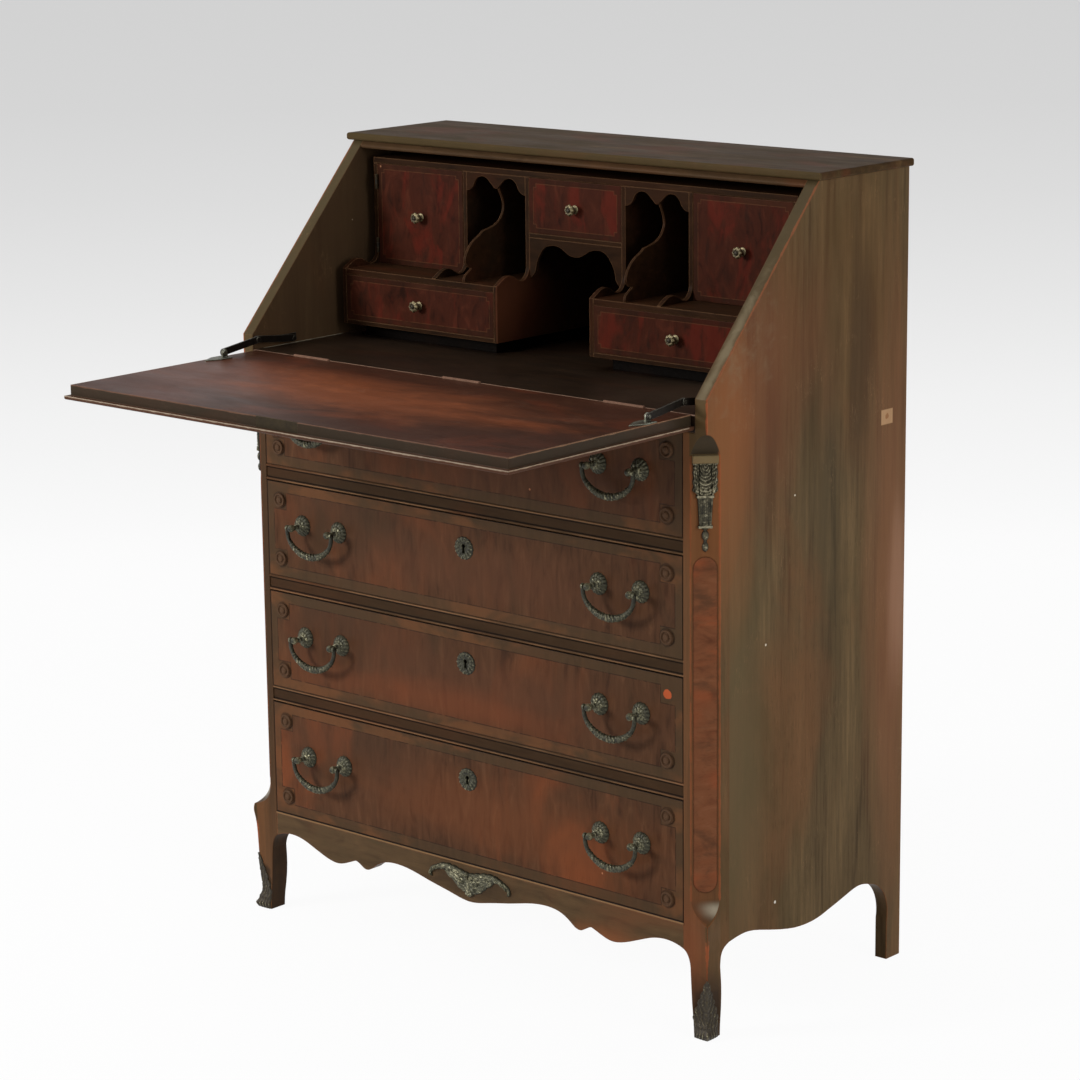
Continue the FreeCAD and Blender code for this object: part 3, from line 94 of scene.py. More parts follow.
class Form:
    """A mesh gathered from grids of points, then welded and made into one piece."""

    def __init__(self) -> None:
        """Starts with no points."""
        self.points: list[np.ndarray] = []
        self.relief: list[np.ndarray] = []
        self.quads: list[np.ndarray] = []
        self.count = 0

    def grid(self, points: np.ndarray, wrap: bool = False, relief: np.ndarray | None = None) -> "Form":
        """Adds a sheet of quads over a grid of points.

        Point (i, j) joins (i, j + 1), (i + 1, j + 1) and (i + 1, j). With wrap, the last column joins the first.

        Args:
            points: Array of rows x columns x 3.
            wrap: Whether the columns close into a ring.
            relief: Height of each point above its ground, 0 to 1, for the finish.

        Returns:
            The form itself.
        """
        rows, columns = points.shape[:2]
        index = np.arange(rows * columns).reshape(rows, columns) + self.count
        right = np.roll(index, -1, axis=1)
        if not wrap:
            index, right = index[:, :-1], right[:, :-1]
        quads = np.stack([index[:-1], right[:-1], right[1:], index[1:]], axis=-1).reshape(-1, 4)
        self.points.append(points.reshape(-1, 3))
        heights = np.full((rows, columns), 0.5) if relief is None else np.broadcast_to(relief, (rows, columns))
        self.relief.append(np.asarray(heights, float).ravel())
        self.quads.append(quads)
        self.count += rows * columns
        return self

    def moved(self, change: Callable[[np.ndarray], np.ndarray]) -> "Form":
        """Moves every point by a function of the points."""
        self.points = [change(points) for points in self.points]
        return self

    def joined(self, other: "Form") -> "Form":
        """Takes in the grids of another form."""
        self.points += other.points
        self.relief += other.relief
        self.quads += [quads + self.count for quads in other.quads]
        self.count += other.count
        return self

    def piece(self, name: str, material: bpy.types.Material, body: str, slot: str,
              replaces: Sequence[str] = ()) -> bpy.types.Object:
        """Makes the mesh object, welds its seams, turns its faces out and gives it to a body of the desk.

        Args:
            name: Name of the piece.
            material: Its finish.
            body: The body that it moves with.
            slot: Not used.
            replaces: Nodes of the desk that it stands for.

        Returns:
            The new object.
        """
        mesh = bpy.data.meshes.new(name)
        points = np.concatenate(self.points)
        quads = np.concatenate(self.quads)
        mesh.vertices.add(len(points))
        mesh.vertices.foreach_set("co", points.astype(np.float32).ravel())
        mesh.loops.add(quads.size)
        mesh.loops.foreach_set("vertex_index", quads.astype(np.int32).ravel())
        mesh.polygons.add(len(quads))
        mesh.polygons.foreach_set("loop_start", np.arange(0, quads.size, 4, dtype=np.int32))
        mesh.update(calc_edges=True)
        layer = mesh.attributes.new("relief", "FLOAT", "POINT")
        layer.data.foreach_set("value", np.concatenate(self.relief).astype(np.float32))
        work = bmesh.new()
        work.from_mesh(mesh)
        bmesh.ops.remove_doubles(work, verts=work.verts, dist=2e-6)
        bmesh.ops.dissolve_degenerate(work, edges=work.edges, dist=1e-6)
        bmesh.ops.recalc_face_normals(work, faces=work.faces)
        work.to_mesh(mesh)
        work.free()
        mesh.validate()
        mesh.shade_smooth()
        mesh.set_sharp_from_angle(angle=math.radians(42))
        mesh.materials.append(material)
        made = bpy.data.objects.new(name, mesh)
        bpy.context.scene.collection.objects.link(made)
        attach(made, body)
        if replaces:
            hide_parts(*replaces)
        log.info("made %s on %s, %d faces", name, body, len(mesh.polygons))
        return made


def turned(profile: Sequence[tuple[float, float]], axis: np.ndarray, side: np.ndarray, steps: int = 40,
           petals: int = 0, depth: float = 0.0) -> Form:
    """A turned form: each profile point (radius, height) goes round the axis.

    Point = axis * height + (side cos a + cross sin a) * radius * (1 + depth cos(petals a)).

    Args:
        profile: Radius and height of each point, from one end to the other.
        axis: Unit direction of the axis.
        side: Unit direction square to it.
        steps: Points round the axis.
        petals: Lobes round the outline.
        depth: Share by which the lobes swell.

    Returns:
        The form, at the origin.
    """
    angle = np.linspace(0, 2 * np.pi, steps, endpoint=False)
    cross = np.cross(axis, side)
    radius, height = np.array(profile, float).T
    lobes = 1 + depth * np.cos(petals * angle)
    ring = np.cos(angle)[:, None] * side + np.sin(angle)[:, None] * cross
    points = height[:, None, None] * axis + (radius[:, None] * lobes)[:, :, None] * ring
    shade = np.clip(radius / max(radius.max(), 1e-9), 0, 1)[:, None] * np.ones(steps)
    return Form().grid(points, wrap=True, relief=shade)


def eased(profile: Sequence[tuple[float, float]], steps: int = 5) -> list[tuple[float, float]]:
    """A profile with more points, on a Catmull-Rom curve through the given ones."""
    p = np.array(profile, float)
    padded = np.vstack([2 * p[0] - p[1], p, 2 * p[-1] - p[-2]])
    t = np.linspace(0, 1, steps, endpoint=False)[:, None]
    runs = []
    for a, b, c, d in zip(padded[:-3], padded[1:-2], padded[2:-1], padded[3:]):
        runs.append(0.5 * (2 * b + (c - a) * t + (2 * a - 5 * b + 4 * c - d) * t ** 2
                           + (3 * b - a - 3 * c + d) * t ** 3))
    points = np.vstack(runs + [p[-1:]])
    points[:, 0] = np.maximum(points[:, 0], 0.0)
    return [tuple(point) for point in points]


def tube(path: np.ndarray, radius: np.ndarray, steps: int = 16, across: np.ndarray | None = None) -> Form:
    """A round bar along a path in a plane, closed at its ends.

    Point = path + (n cos a + b sin a) * radius, with b the plane's normal and n square to the run.

    Args:
        path: Points of the centreline.
        radius: Radius at each point, or at each point and step.
        steps: Points round the bar.
        across: Normal of the path's plane.

    Returns:
        The form.
    """
    binormal = np.array([0.0, 1.0, 0.0]) if across is None else across
    run = np.gradient(path, axis=0)
    run /= np.linalg.norm(run, axis=1)[:, None]
    normal = np.cross(run, binormal)
    normal /= np.linalg.norm(normal, axis=1)[:, None]
    side = np.cross(normal, run)
    angle = np.linspace(0, 2 * np.pi, steps, endpoint=False)
    radii = np.broadcast_to(radius if radius.ndim == 2 else radius[:, None], (len(path), steps))
    ring = normal[:, None] * np.cos(angle)[None, :, None] + side[:, None] * np.sin(angle)[None, :, None]
    points = path[:, None] + ring * radii[:, :, None]
    ends = [np.broadcast_to(path[i], (1, steps, 3)) for i in (0, -1)]
    points = np.concatenate([ends[0], points, ends[1]])
    low, high = radii.min(), radii.max()
    shade = (radii - low) / max(high - low, 1e-9)
    shade = np.concatenate([shade[:1], shade, shade[-1:]])
    return Form().grid(points, wrap=True, relief=shade)


def relief_plate(u: np.ndarray, v: np.ndarray, place: Callable[[np.ndarray, np.ndarray, np.ndarray], np.ndarray],
                 height: np.ndarray) -> Form:
    """A casting: a sheet raised over its ground by a height, with a flat back.

    Args:
        u: Position across, for each grid point.
        v: Position along, for each grid point.
        place: Turns across, along and height into points.
        height: Height over the ground, zero round the edge.

    Returns:
        The closed form.
    """
    top = max(float(height.max()), 1e-9)
    form = Form().grid(place(u, v, height), relief=height / top)
    return form.grid(place(u, v, np.zeros_like(height))[:, ::-1], relief=np.zeros_like(height))


# Shader maths


class Flow:
    """A number, vector or colour that runs from one node of a material to the next."""

    def __init__(self, maker: "Finisher", socket: bpy.types.NodeSocket) -> None:
        """Keeps the maker of the nodes and the socket that gives the value."""
        self.maker = maker
        self.socket = socket

    def math(self, operation: str, *values: "Flow | float", clamp: bool = False) -> "Flow":
        """One Math node on numbers.

        Args:
            operation: The node's operation.
            *values: Its inputs.
            clamp: Whether the result is kept within 0 and 1.

        Returns:
            The result.
        """
        return self.maker.node("ShaderNodeMath", {"operation": operation, "use_clamp": clamp},
                               dict(enumerate(values)))

    def __add__(self, other: "Flow | float") -> "Flow":
        """Self plus other."""
        return self.math("ADD", self, other)

    def __sub__(self, other: "Flow | float") -> "Flow":
        """Self minus other."""
        return self.math("SUBTRACT", self, other)

    def __mul__(self, other: "Flow | float") -> "Flow":
        """Self times other."""
        return self.math("MULTIPLY", self, other)

    def __truediv__(self, other: "Flow | float") -> "Flow":
        """Self over other."""
        return self.math("DIVIDE", self, other)

    def __radd__(self, other: float) -> "Flow":
        """Other plus self."""
        return self.math("ADD", other, self)

    def __rsub__(self, other: float) -> "Flow":
        """Other minus self."""
        return self.math("SUBTRACT", other, self)

    def __rmul__(self, other: float) -> "Flow":
        """Other times self."""
        return self.math("MULTIPLY", other, self)

    def __pow__(self, other: float) -> "Flow":
        """Self raised to other."""
        return self.math("POWER", self, other)

    def __abs__(self) -> "Flow":
        """Self without its sign."""
        return self.math("ABSOLUTE", self)

    def largest(self, other: "Flow | float") -> "Flow":
        """The larger of two numbers."""
        return self.math("MAXIMUM", self, other)

    def smallest(self, other: "Flow | float") -> "Flow":
        """The smaller of two numbers."""
        return self.math("MINIMUM", self, other)

    def between(self, low: float, high: float) -> "Flow":
        """A smooth rise from 0 at low to 1 at high; it falls where low is the larger."""
        if low > high:
            return 1 - self.between(high, low)
        return self.maker.node("ShaderNodeMapRange", {"interpolation_type": "SMOOTHSTEP"},
                               {0: self, 1: low, 2: high, 3: 0.0, 4: 1.0})


@dataclass
class Coat:
    """What a material has so far: its colour, roughness, metallic share and fine height."""

    colour: Flow
    roughness: Flow
    height: Flow
    metallic: float = 0.0
    clear: float = 0.0
    clear_roughness: float = 0.25
    gloss: float = 0.5
    bump: float = 0.0003

    def with_layer(self, colour: Flow, roughness: Flow | None = None, height: Flow | None = None) -> "Coat":
        """The same coat with another colour, and another roughness or height where one is given."""
        return replace(self, colour=colour, roughness=roughness or self.roughness, height=height or self.height)


class Finisher:
    """Makes the nodes of one material, or of the world."""

    def __init__(self, name: str, world: bpy.types.World | None = None) -> None:
        """Starts a material with an empty tree, or empties the world's.

        Args:
            name: Name of the material.
            world: The world, where its nodes are made instead.
        """
        self.material = world or bpy.data.materials.new(name)
        self.material.use_nodes = True
        self.tree = self.material.node_tree
        self.tree.nodes.clear()
        self.place = self.node("ShaderNodeTexCoord", {}, {}, output="Object")
        axes = self.node_raw("ShaderNodeSeparateXYZ", {}, {0: self.place})
        self.x, self.y, self.z = (Flow(self, axes.outputs[i]) for i in range(3))

    def paired(self) -> Flow:
        """The place of a point with its x made positive, so that left and right wear alike."""
        return self.node("ShaderNodeCombineXYZ", {}, {0: abs(self.x), 1: self.y, 2: self.z})

    def node_raw(self, kind: str, settings: dict, values: dict) -> bpy.types.Node:
        """Makes one node.

        Args:
            kind: Type of the node.
            settings: Its properties, which are set first.
            values: Values or links of its inputs, by index or name.

        Returns:
            The node.
        """
        made = self.tree.nodes.new(kind)
        for key, value in settings.items():
            setattr(made, key, value)
        for key, value in values.items():
            if isinstance(value, Flow):
                self.tree.links.new(value.socket, made.inputs[key])
            else:
                made.inputs[key].default_value = value
        return made

    def node(self, kind: str, settings: dict, values: dict, output: int | str = 0) -> Flow:
        """Makes one node and gives one of its outputs."""
        return Flow(self, self.node_raw(kind, settings, values).outputs[output])

    def mix(self, share: Flow | float, first: Flow | Colour, second: Flow | Colour) -> Flow:
        """Mixes two colours.

        Args:
            share: How much of the second.
            first: First colour.
            second: Second colour.

        Returns:
            The mixed colour.
        """
        values = {0: share}
        for key, colour in ((6, first), (7, second)):
            values[key] = colour if isinstance(colour, Flow) else (*colour, 1.0)
        return self.node("ShaderNodeMix", {"data_type": "RGBA", "clamp_factor": True}, values, output=2)

    def stretched(self, scale: Sequence[float], turn: float = 0.0) -> Flow:
        """The place of a point, scaled along each axis and turned about z by an angle in degrees."""
        return self.node("ShaderNodeMapping", {}, {0: self.place, 2: (0.0, 0.0, math.radians(turn)), 3: tuple(scale)})

    def noise(self, where: Flow, scale: float, detail: float = 4.0, rough: float = 0.55, twist: float = 0.0) -> Flow:
        """Cloudy noise, about 0.5, at a scale in cycles per unit of where."""
        return self.node("ShaderNodeTexNoise", {}, {"Vector": where, "Scale": scale, "Detail": detail,
                                                    "Roughness": rough, "Distortion": twist})

    def seen(self) -> Flow:
        """One for a ray that the camera, gloss or glass sees, and zero for a ray that brings light."""
        rays = self.node_raw("ShaderNodeLightPath", {}, {})
        camera, gloss, glass = (Flow(self, rays.outputs["Is " + kind + " Ray"])
                                for kind in ("Camera", "Glossy", "Transmission"))
        return camera.largest(gloss).largest(glass)

    def edges(self, radius: float) -> tuple[Flow, Flow]:
        """The rounded normal near edges, and how near an edge a point is.

        The second is one minus the dot product of the rounded and the plain normal.

        Args:
            radius: How far the rounding reaches, in metres.

        Returns:
            The rounded normal and the nearness to an edge.
        """
        soft = self.node("ShaderNodeBevel", {"samples": 4}, {"Radius": radius})
        plain = self.node("ShaderNodeNewGeometry", {}, {}, output="Normal")
        dot = self.node("ShaderNodeVectorMath", {"operation": "DOT_PRODUCT"}, {0: soft, 1: plain}, output="Value")
        return soft, 1 - dot

    def finish(self, coat: Coat, normal: Flow | None = None) -> bpy.types.Material:
        """Ends the material in one Principled shader.

        Args:
            coat: What the material has.
            normal: The normal that its fine height is laid on.

        Returns:
            The material.
        """
        values = {"Height": coat.height, "Strength": 1.0, "Distance": coat.bump}
        if normal is not None:
            values["Normal"] = normal
        bumped = self.node("ShaderNodeBump", {}, values)
        shader = self.node_raw("ShaderNodeBsdfPrincipled", {}, {
            "Base Color": coat.colour, "Roughness": coat.roughness, "Metallic": coat.metallic, "Normal": bumped,
            "Specular IOR Level": coat.gloss, "Coat Weight": coat.clear, "Coat Roughness": coat.clear_roughness})
        self.node_raw("ShaderNodeOutputMaterial", {}, {0: Flow(self, shader.outputs[0])})
        return self.material


class Grain(Enum):
    """The axis that the grain of a board runs along, as the stretch of its noise on x, y and z."""

    ACROSS = (0.04, 1.0, 1.0)
    BACK = (1.0, 0.04, 1.0)
    UPRIGHT = (1.0, 1.0, 0.04)
    ROUND = (0.22, 0.22, 1.0)

    def eased(self, share: float) -> tuple[float, float, float]:
        """The stretch taken back towards even by a share."""
        return tuple(value + (1 - value) * share for value in self.value)


Overlay = Callable[[Finisher, Coat], Coat]


@dataclass(frozen=True)
class Wood:
    """A shellacked wood: its tones, its grain, its figure and its wear."""

    name: str
    dark: Colour
    mid: Colour
    light: Colour
    accent: Colour
    stain: Colour
    grain: Grain
    accent_share: float = 0.6
    stain_share: float = 0.5
    streaks: float = 90.0
    streak_share: float = 0.4
    figure: float = 60.0
    figure_run: float = 0.22
    figure_share: float = 0.5
    pore_share: float = 0.28
    patch: float = 7.0
    roughness: float = 0.42
    gloss: float = 0.07
    clear: float = 0.0
    worn: Colour = srgb(150, 84, 48)
    wear: float = 0.85
    edge: float = 2.2 * MM

    def material(self, suffix: str = "", overlays: Sequence[Overlay] = (),
                 seam: Callable[[Finisher], Flow] | None = None) -> bpy.types.Material:
        """Makes the material.

        Tone = 1/2 + streak share * (fine long noise - 1/2) + figure share * (curled noise - 1/2). It runs from dark
        over middle to light. Broad noise lays the accent and the stain over it in patches, the finest noise makes
        pores and pale dust, and worn wood shows near the edges.

        Args:
            suffix: Added to the finish's name.
            overlays: Changes laid over the plain wood, in order.
            seam: Gives 0 near a glued seam, where nothing wears, and 1 elsewhere.

        Returns:
            The material.
        """
        make = Finisher(self.name + suffix)
        grain = self.grain.value
        streak = make.noise(make.stretched(grain), self.streaks, 5.0, 0.68, 0.25)
        curl = make.noise(make.stretched(self.grain.eased(self.figure_run)), self.figure, 3.0, 0.55, 1.1)
        broad = make.noise(make.stretched(self.grain.eased(0.45)), self.patch, 4.0, 0.58, 0.6)
        cloud = make.noise(make.stretched(self.grain.eased(0.30)), self.patch * 1.9, 4.0, 0.62, 0.4)
        pores = make.noise(make.stretched(self.grain.eased(0.02)), 900.0, 2.0, 0.6)
        dust = make.noise(make.place, 700.0, 3.0, 0.7)
        tone = (streak - 0.5) * self.streak_share + (curl - 0.5) * self.figure_share + 0.5
        colour = make.mix(tone.between(0.28, 0.52), self.dark, self.mid)
        colour = make.mix(tone.between(0.50, 0.74), colour, self.light)
        colour = make.mix(broad.between(0.48, 0.66) * self.accent_share, colour, self.accent)
        colour = make.mix(cloud.between(0.52, 0.72) * self.stain_share, colour, self.stain)
        colour = make.mix(pores.between(0.56, 0.70) * self.pore_share, colour, self.dark)
        colour = make.mix(dust.between(0.66, 0.74) * 0.22, colour, self.light)
        soft, near = make.edges(self.edge)
        if seam is not None:
            plain = make.node("ShaderNodeNewGeometry", {}, {}, output="Normal")
            free = seam(make)
            near = near * free
            soft = make.node("ShaderNodeMix", {"data_type": "VECTOR"}, {0: free, 4: plain, 5: soft}, output=1)
        chipped = make.noise(make.place, 75.0, 5.0, 0.7)
        worn = (near * 4.5 + (chipped - 0.5) * 1.6 - 0.28).between(0.05, 0.45) * near.between(0.004, 0.03) * self.wear
        colour = make.mix(worn, colour, self.worn)
        roughness = self.roughness + (cloud - 0.5) * 0.30 + (pores - 0.5) * 0.12 + worn * 0.10
        height = pores * 0.45 + streak * 0.4 + dust * 0.15
        coat = Coat(colour, roughness, height, clear=self.clear, gloss=self.gloss, bump=0.00016)
        for overlay in overlays:
            coat = overlay(make, coat)
        return make.finish(coat, soft)


@dataclass(frozen=True)
class Metal:
    """A metal: dark in its hollows and rubbed bright on its high places, or, where it has no relief, pale on its edges,
    which is wear and on the stay metal also a painted highlight.
    """

    name: str
    hollow: Colour
    face: Colour
    rubbed: Colour
    metallic: float = 0.7
    roughness: float = 0.46
    rub_from: float = 0.62
    rub_to: float = 1.05
    rub_share: float = 0.75
    speckle: float = 420.0
    carved: float = 0.5
    depth: float = 0.8 * MM
    plain: bool = False
    gloss: float = 0.5

    def material(self) -> bpy.types.Material:
        """Makes the material from the relief of a piece, or from its edges, and three noises.

        The curled noise stands for leaves finer than the mesh. It changes the tone and the fine height together.
        """
        make = Finisher(self.name)
        cloud = make.noise(make.place, 110.0, 4.0, 0.65)
        grit = make.noise(make.place, self.speckle, 3.0, 0.65)
        leaf = make.noise(make.place, 250.0, 2.0, 0.5, 1.4)
        soft = None
        # Without relief the edges are made pale: wear, and on the stay metal also a painted highlight.
        if self.plain:
            soft, near = make.edges(0.9 * MM)
            relief = near * 3.2 + 0.35
        else:
            relief = make.node("ShaderNodeAttribute", {"attribute_name": "relief"}, {}, output="Fac")
        relief = relief + (leaf - 0.5) * self.carved * 2
        low = (relief + (cloud - 0.5) * 0.6).between(0.10, 0.60)
        high = (relief + (cloud - 0.5) * 0.9 + (grit - 0.5) * 0.9).between(self.rub_from, self.rub_to)
        colour = make.mix(low, self.hollow, self.face)
        colour = make.mix(high * self.rub_share, colour, self.rubbed)
        roughness = self.roughness + 0.16 * (1 - high) * cloud.between(0.3, 0.7) - high * 0.18
        coat = Coat(colour, roughness, leaf * self.carved + grit * 0.15, metallic=self.metallic, gloss=self.gloss,
                    bump=self.depth)
        return make.finish(coat, soft)


# Overlays on the woods


@dataclass(frozen=True)
class InlaidFrame:
    """A string line with notched corners round a field, and a cross-banded border outside it."""

    centre_x: float
    centre_z: float
    half_x: float
    half_z: float
    notch: float
    border: Colour
    patch: Colour
    line: Colour
    line_width: float = 0.9 * MM
    border_share: float = 0.75
    line_share: float = 0.85
    relief: float = 0.5

    def __call__(self, make: Finisher, coat: Coat) -> Coat:
        """Lays the border and the line on a front that faces -y.

        The distance outside the field is max(|x| - half_x, |z| - half_z), cut by the smaller of both plus the notch.

        Args:
            make: Maker of the material's nodes.
            coat: What the wood has so far.

        Returns:
            The coat with the frame on it.
        """
        out_x = abs(make.x - self.centre_x) - self.half_x
        out_z = abs(make.z - self.centre_z) - self.half_z
        outside = out_x.largest(out_z).largest((out_x + self.notch).smallest(out_z + self.notch))
        banding = make.noise(make.stretched((0.5, 1.0, 0.5)), 90.0, 4.0, 0.65)
        faded = make.noise(make.stretched((0.55, 1.0, 1.0)), 11.0, 4.0, 0.6, 0.4)
        tone = make.mix(faded.between(0.50, 0.62), self.border, self.patch)
        share = outside.between(-0.0002, 0.0004) * self.border_share * (0.7 + banding * 0.5)
        colour = make.mix(share, coat.colour, tone)
        line = abs(outside).between(self.line_width, self.line_width * 0.4)
        broken = make.noise(make.place, 120.0, 3.0, 0.6)
        colour = make.mix(line * self.line_share * broken.between(0.32, 0.50), colour, self.line)
        return coat.with_layer(colour, height=coat.height - line * self.relief)


@dataclass(frozen=True)
class Spot:
    """A round mark on a surface, with a ragged edge."""

    centre: tuple[float, float, float]
    radius: float
    colour: Colour
    share: float = 0.9
    ragged: float = 0.4
    soft: float = 0.82
    flat: bool = False

    def __call__(self, make: Finisher, coat: Coat) -> Coat:
        """Mixes the mark's colour in, where noise plus distance is within the radius."""
        offset = make.node("ShaderNodeVectorMath", {"operation": "SUBTRACT"}, {0: make.place, 1: self.centre})
        away = make.node("ShaderNodeVectorMath", {"operation": "LENGTH"}, {0: offset}, output="Value")
        rough = make.noise(make.place, 0.9 / self.radius, 4.0, 0.6)
        mark = (away / self.radius + (rough - 0.5) * self.ragged * 2).between(1.0, self.soft) * self.share
        colour = make.mix(mark, coat.colour, self.colour)
        if self.flat:
            return coat.with_layer(colour)
        return coat.with_layer(colour, coat.roughness + mark * 0.15, coat.height - mark * 0.6)


@dataclass(frozen=True)
class Glow:
    """A broad soft patch of another tone: faded and darkened wood, and in some places painted light and painted shade.
    """

    centre: tuple[float, float, float]
    reach: tuple[float, float, float]
    colour: Colour
    share: float = 0.7
    streaks: tuple[float, float, float] = (1.0, 1.0, 1.0)
    broken: float = 1.3
    scale: float = 9.0

    def __call__(self, make: Finisher, coat: Coat) -> Coat:
        """Mixes the tone in by 1 minus the distance in reaches, broken up by long noise."""
        offset = make.node("ShaderNodeVectorMath", {"operation": "SUBTRACT"}, {0: make.place, 1: self.centre})
        scaled = make.node("ShaderNodeVectorMath", {"operation": "DIVIDE"}, {0: offset, 1: self.reach})
        away = make.node("ShaderNodeVectorMath", {"operation": "LENGTH"}, {0: scaled}, output="Value")
        cloud = make.noise(make.stretched(self.streaks), self.scale, 5.0, 0.62, 0.6)
        patch = (1 - away + (cloud - 0.5) * self.broken).between(0.0, 0.9) * self.share
        return coat.with_layer(make.mix(patch, coat.colour, self.colour))


@dataclass(frozen=True)
class Nicks:
    """Small pale chips strewn over a surface."""

    density: float = 26.0
    size: float = 0.045
    colour: Colour = srgb(196, 176, 146)

    def __call__(self, make: Finisher, coat: Coat) -> Coat:
        """Shows a chip where the distance to the nearest strewn point is small, and only at a few of the points."""
        cells = make.node_raw("ShaderNodeTexVoronoi", {}, {"Vector": make.place, "Scale": self.density})
        away = Flow(make, cells.outputs["Distance"])
        pick = Flow(make, make.node_raw("ShaderNodeSeparateXYZ", {}, {0: Flow(make, cells.outputs["Color"])}).outputs[0])
        mark = away.between(self.size, self.size * 0.6) * pick.between(0.86, 0.90)
        return coat.with_layer(make.mix(mark, coat.colour, self.colour), height=coat.height - mark)


@dataclass(frozen=True)
class Scratches:
    """Fine pale scratches that run mostly one way."""

    run: tuple[float, float, float]
    turn: float = 0.0
    scale: float = 260.0
    colour: Colour = srgb(150, 110, 80)
    share: float = 0.35

    def __call__(self, make: Finisher, coat: Coat) -> Coat:
        """Shows the thin crests of a long noise, and only where a broad noise is high."""
        lines = make.noise(make.stretched(self.run, self.turn), self.scale, 2.0, 0.5, 0.3)
        where = make.noise(make.place, 16.0, 4.0, 0.6)
        mark = abs(lines - 0.5).between(0.016, 0.004) * where.between(0.52, 0.66) * self.share
        return coat.with_layer(make.mix(mark, coat.colour, self.colour))


@dataclass(frozen=True)
class Faces:
    """Another tone on the faces of a corner post that don't lie in the plane of the side."""

    side: float
    dark: Colour
    light: Colour

    def __call__(self, make: Finisher, coat: Coat) -> Coat:
        """Lays the tone wherever |x| is short of the side's plane."""
        inside = abs(make.x).between(self.side - 0.05 * MM, self.side - 0.5 * MM)
        streak = make.noise(make.stretched(Grain.UPRIGHT.value), 120.0, 5.0, 0.65, 0.2)
        tone = make.mix(streak.between(0.35, 0.65), self.dark, self.light)
        return coat.with_layer(make.mix(inside * 0.85, coat.colour, tone))


Span = tuple[float, float]
EVERYWHERE: Span = (-9.0, 9.0)


@dataclass(frozen=True)
class Zone:
    """Another tone on the part of a surface that lies within spans of |x|, y and z."""

    colour: Colour
    share: float = 0.8
    x: Span = EVERYWHERE
    y: Span = EVERYWHERE
    z: Span = EVERYWHERE
    soft: float = 0.4 * MM

    def __call__(self, make: Finisher, coat: Coat) -> Coat:
        """Mixes the tone in within the spans, a little broken by noise."""
        inside = None
        for value, (low, high) in ((abs(make.x), self.x), (make.y, self.y), (make.z, self.z)):
            if (low, high) != EVERYWHERE:
                within = value.between(low - self.soft, low).smallest(value.between(high + self.soft, high))
                inside = within if inside is None else inside.smallest(within)
        cloud = make.noise(make.place, 24.0, 4.0, 0.6)
        return coat.with_layer(make.mix(inside * self.share * (0.75 + cloud * 0.5), coat.colour, self.colour))


@dataclass(frozen=True)
class CantBand:
    """Another tone on a stretch of a canted corner, between two heights."""

    low: float
    high: float
    colour: Colour
    share: float = 0.8
    proud: bool = False
    soft: float = 0.6 * MM
    rise: Span | None = None

    def __call__(self, make: Finisher, coat: Coat) -> Coat:
        """Mixes the tone in, on what stands proud of the cant or else on what lies behind both outer planes."""
        if self.proud:
            inside = (abs(make.x) - make.y).between(0.3548 - FRONT_Y, 0.3551 - FRONT_Y)
        else:
            inside = abs(make.x).between(0.3789, 0.3786).smallest(
                make.y.between(FRONT_Y + 0.1 * MM, FRONT_Y + 0.4 * MM))
        inside = inside.smallest(make.z.between(self.low - self.soft, self.low)).smallest(
            make.z.between(self.high + self.soft, self.high))
        if self.rise is not None:
            inside = inside * make.y.between(*self.rise)
        cloud = make.noise(make.place, 60.0, 4.0, 0.6)
        return coat.with_layer(make.mix(inside * self.share * (0.7 + cloud * 0.6), coat.colour, self.colour))


@dataclass(frozen=True)
class Beading:
    """Painted shade and highlight on rails whose long edges carry beads: painted shade on the sunk flat and in the
    grooves, and a pale crest line that is painted highlight and wear.
    """

    centres: tuple[float, ...]
    half: float
    # The flat and groove tones are painted shade; the crest tone is painted highlight and wear.
    flat: Colour = srgb(50, 36, 24)
    groove: Colour = srgb(13, 9, 6)
    crest: Colour = srgb(148, 110, 78)

    def __call__(self, make: Finisher, coat: Coat) -> Coat:
        """Lays three tones by the height's distance from the nearest rail's middle."""
        away = abs(make.z - self.centres[0])
        for centre in self.centres[1:]:
            away = away.smallest(abs(make.z - centre))
        inner = self.half - 4.0 * MM
        colour = make.mix(away.between(inner, inner - 0.8 * MM) * 0.65, coat.colour, self.flat)
        colour = make.mix(abs(away - inner).between(1.3 * MM, 0.5 * MM) * 0.92, colour, self.groove)
        broken = make.noise(make.stretched((0.12, 1.0, 1.0)), 60.0, 4.0, 0.65)
        crest = abs(away - (self.half - 1.7 * MM)).between(0.8 * MM, 0.2 * MM) * broken.between(0.36, 0.60)
        return coat.with_layer(make.mix(crest * 0.75, colour, self.crest))


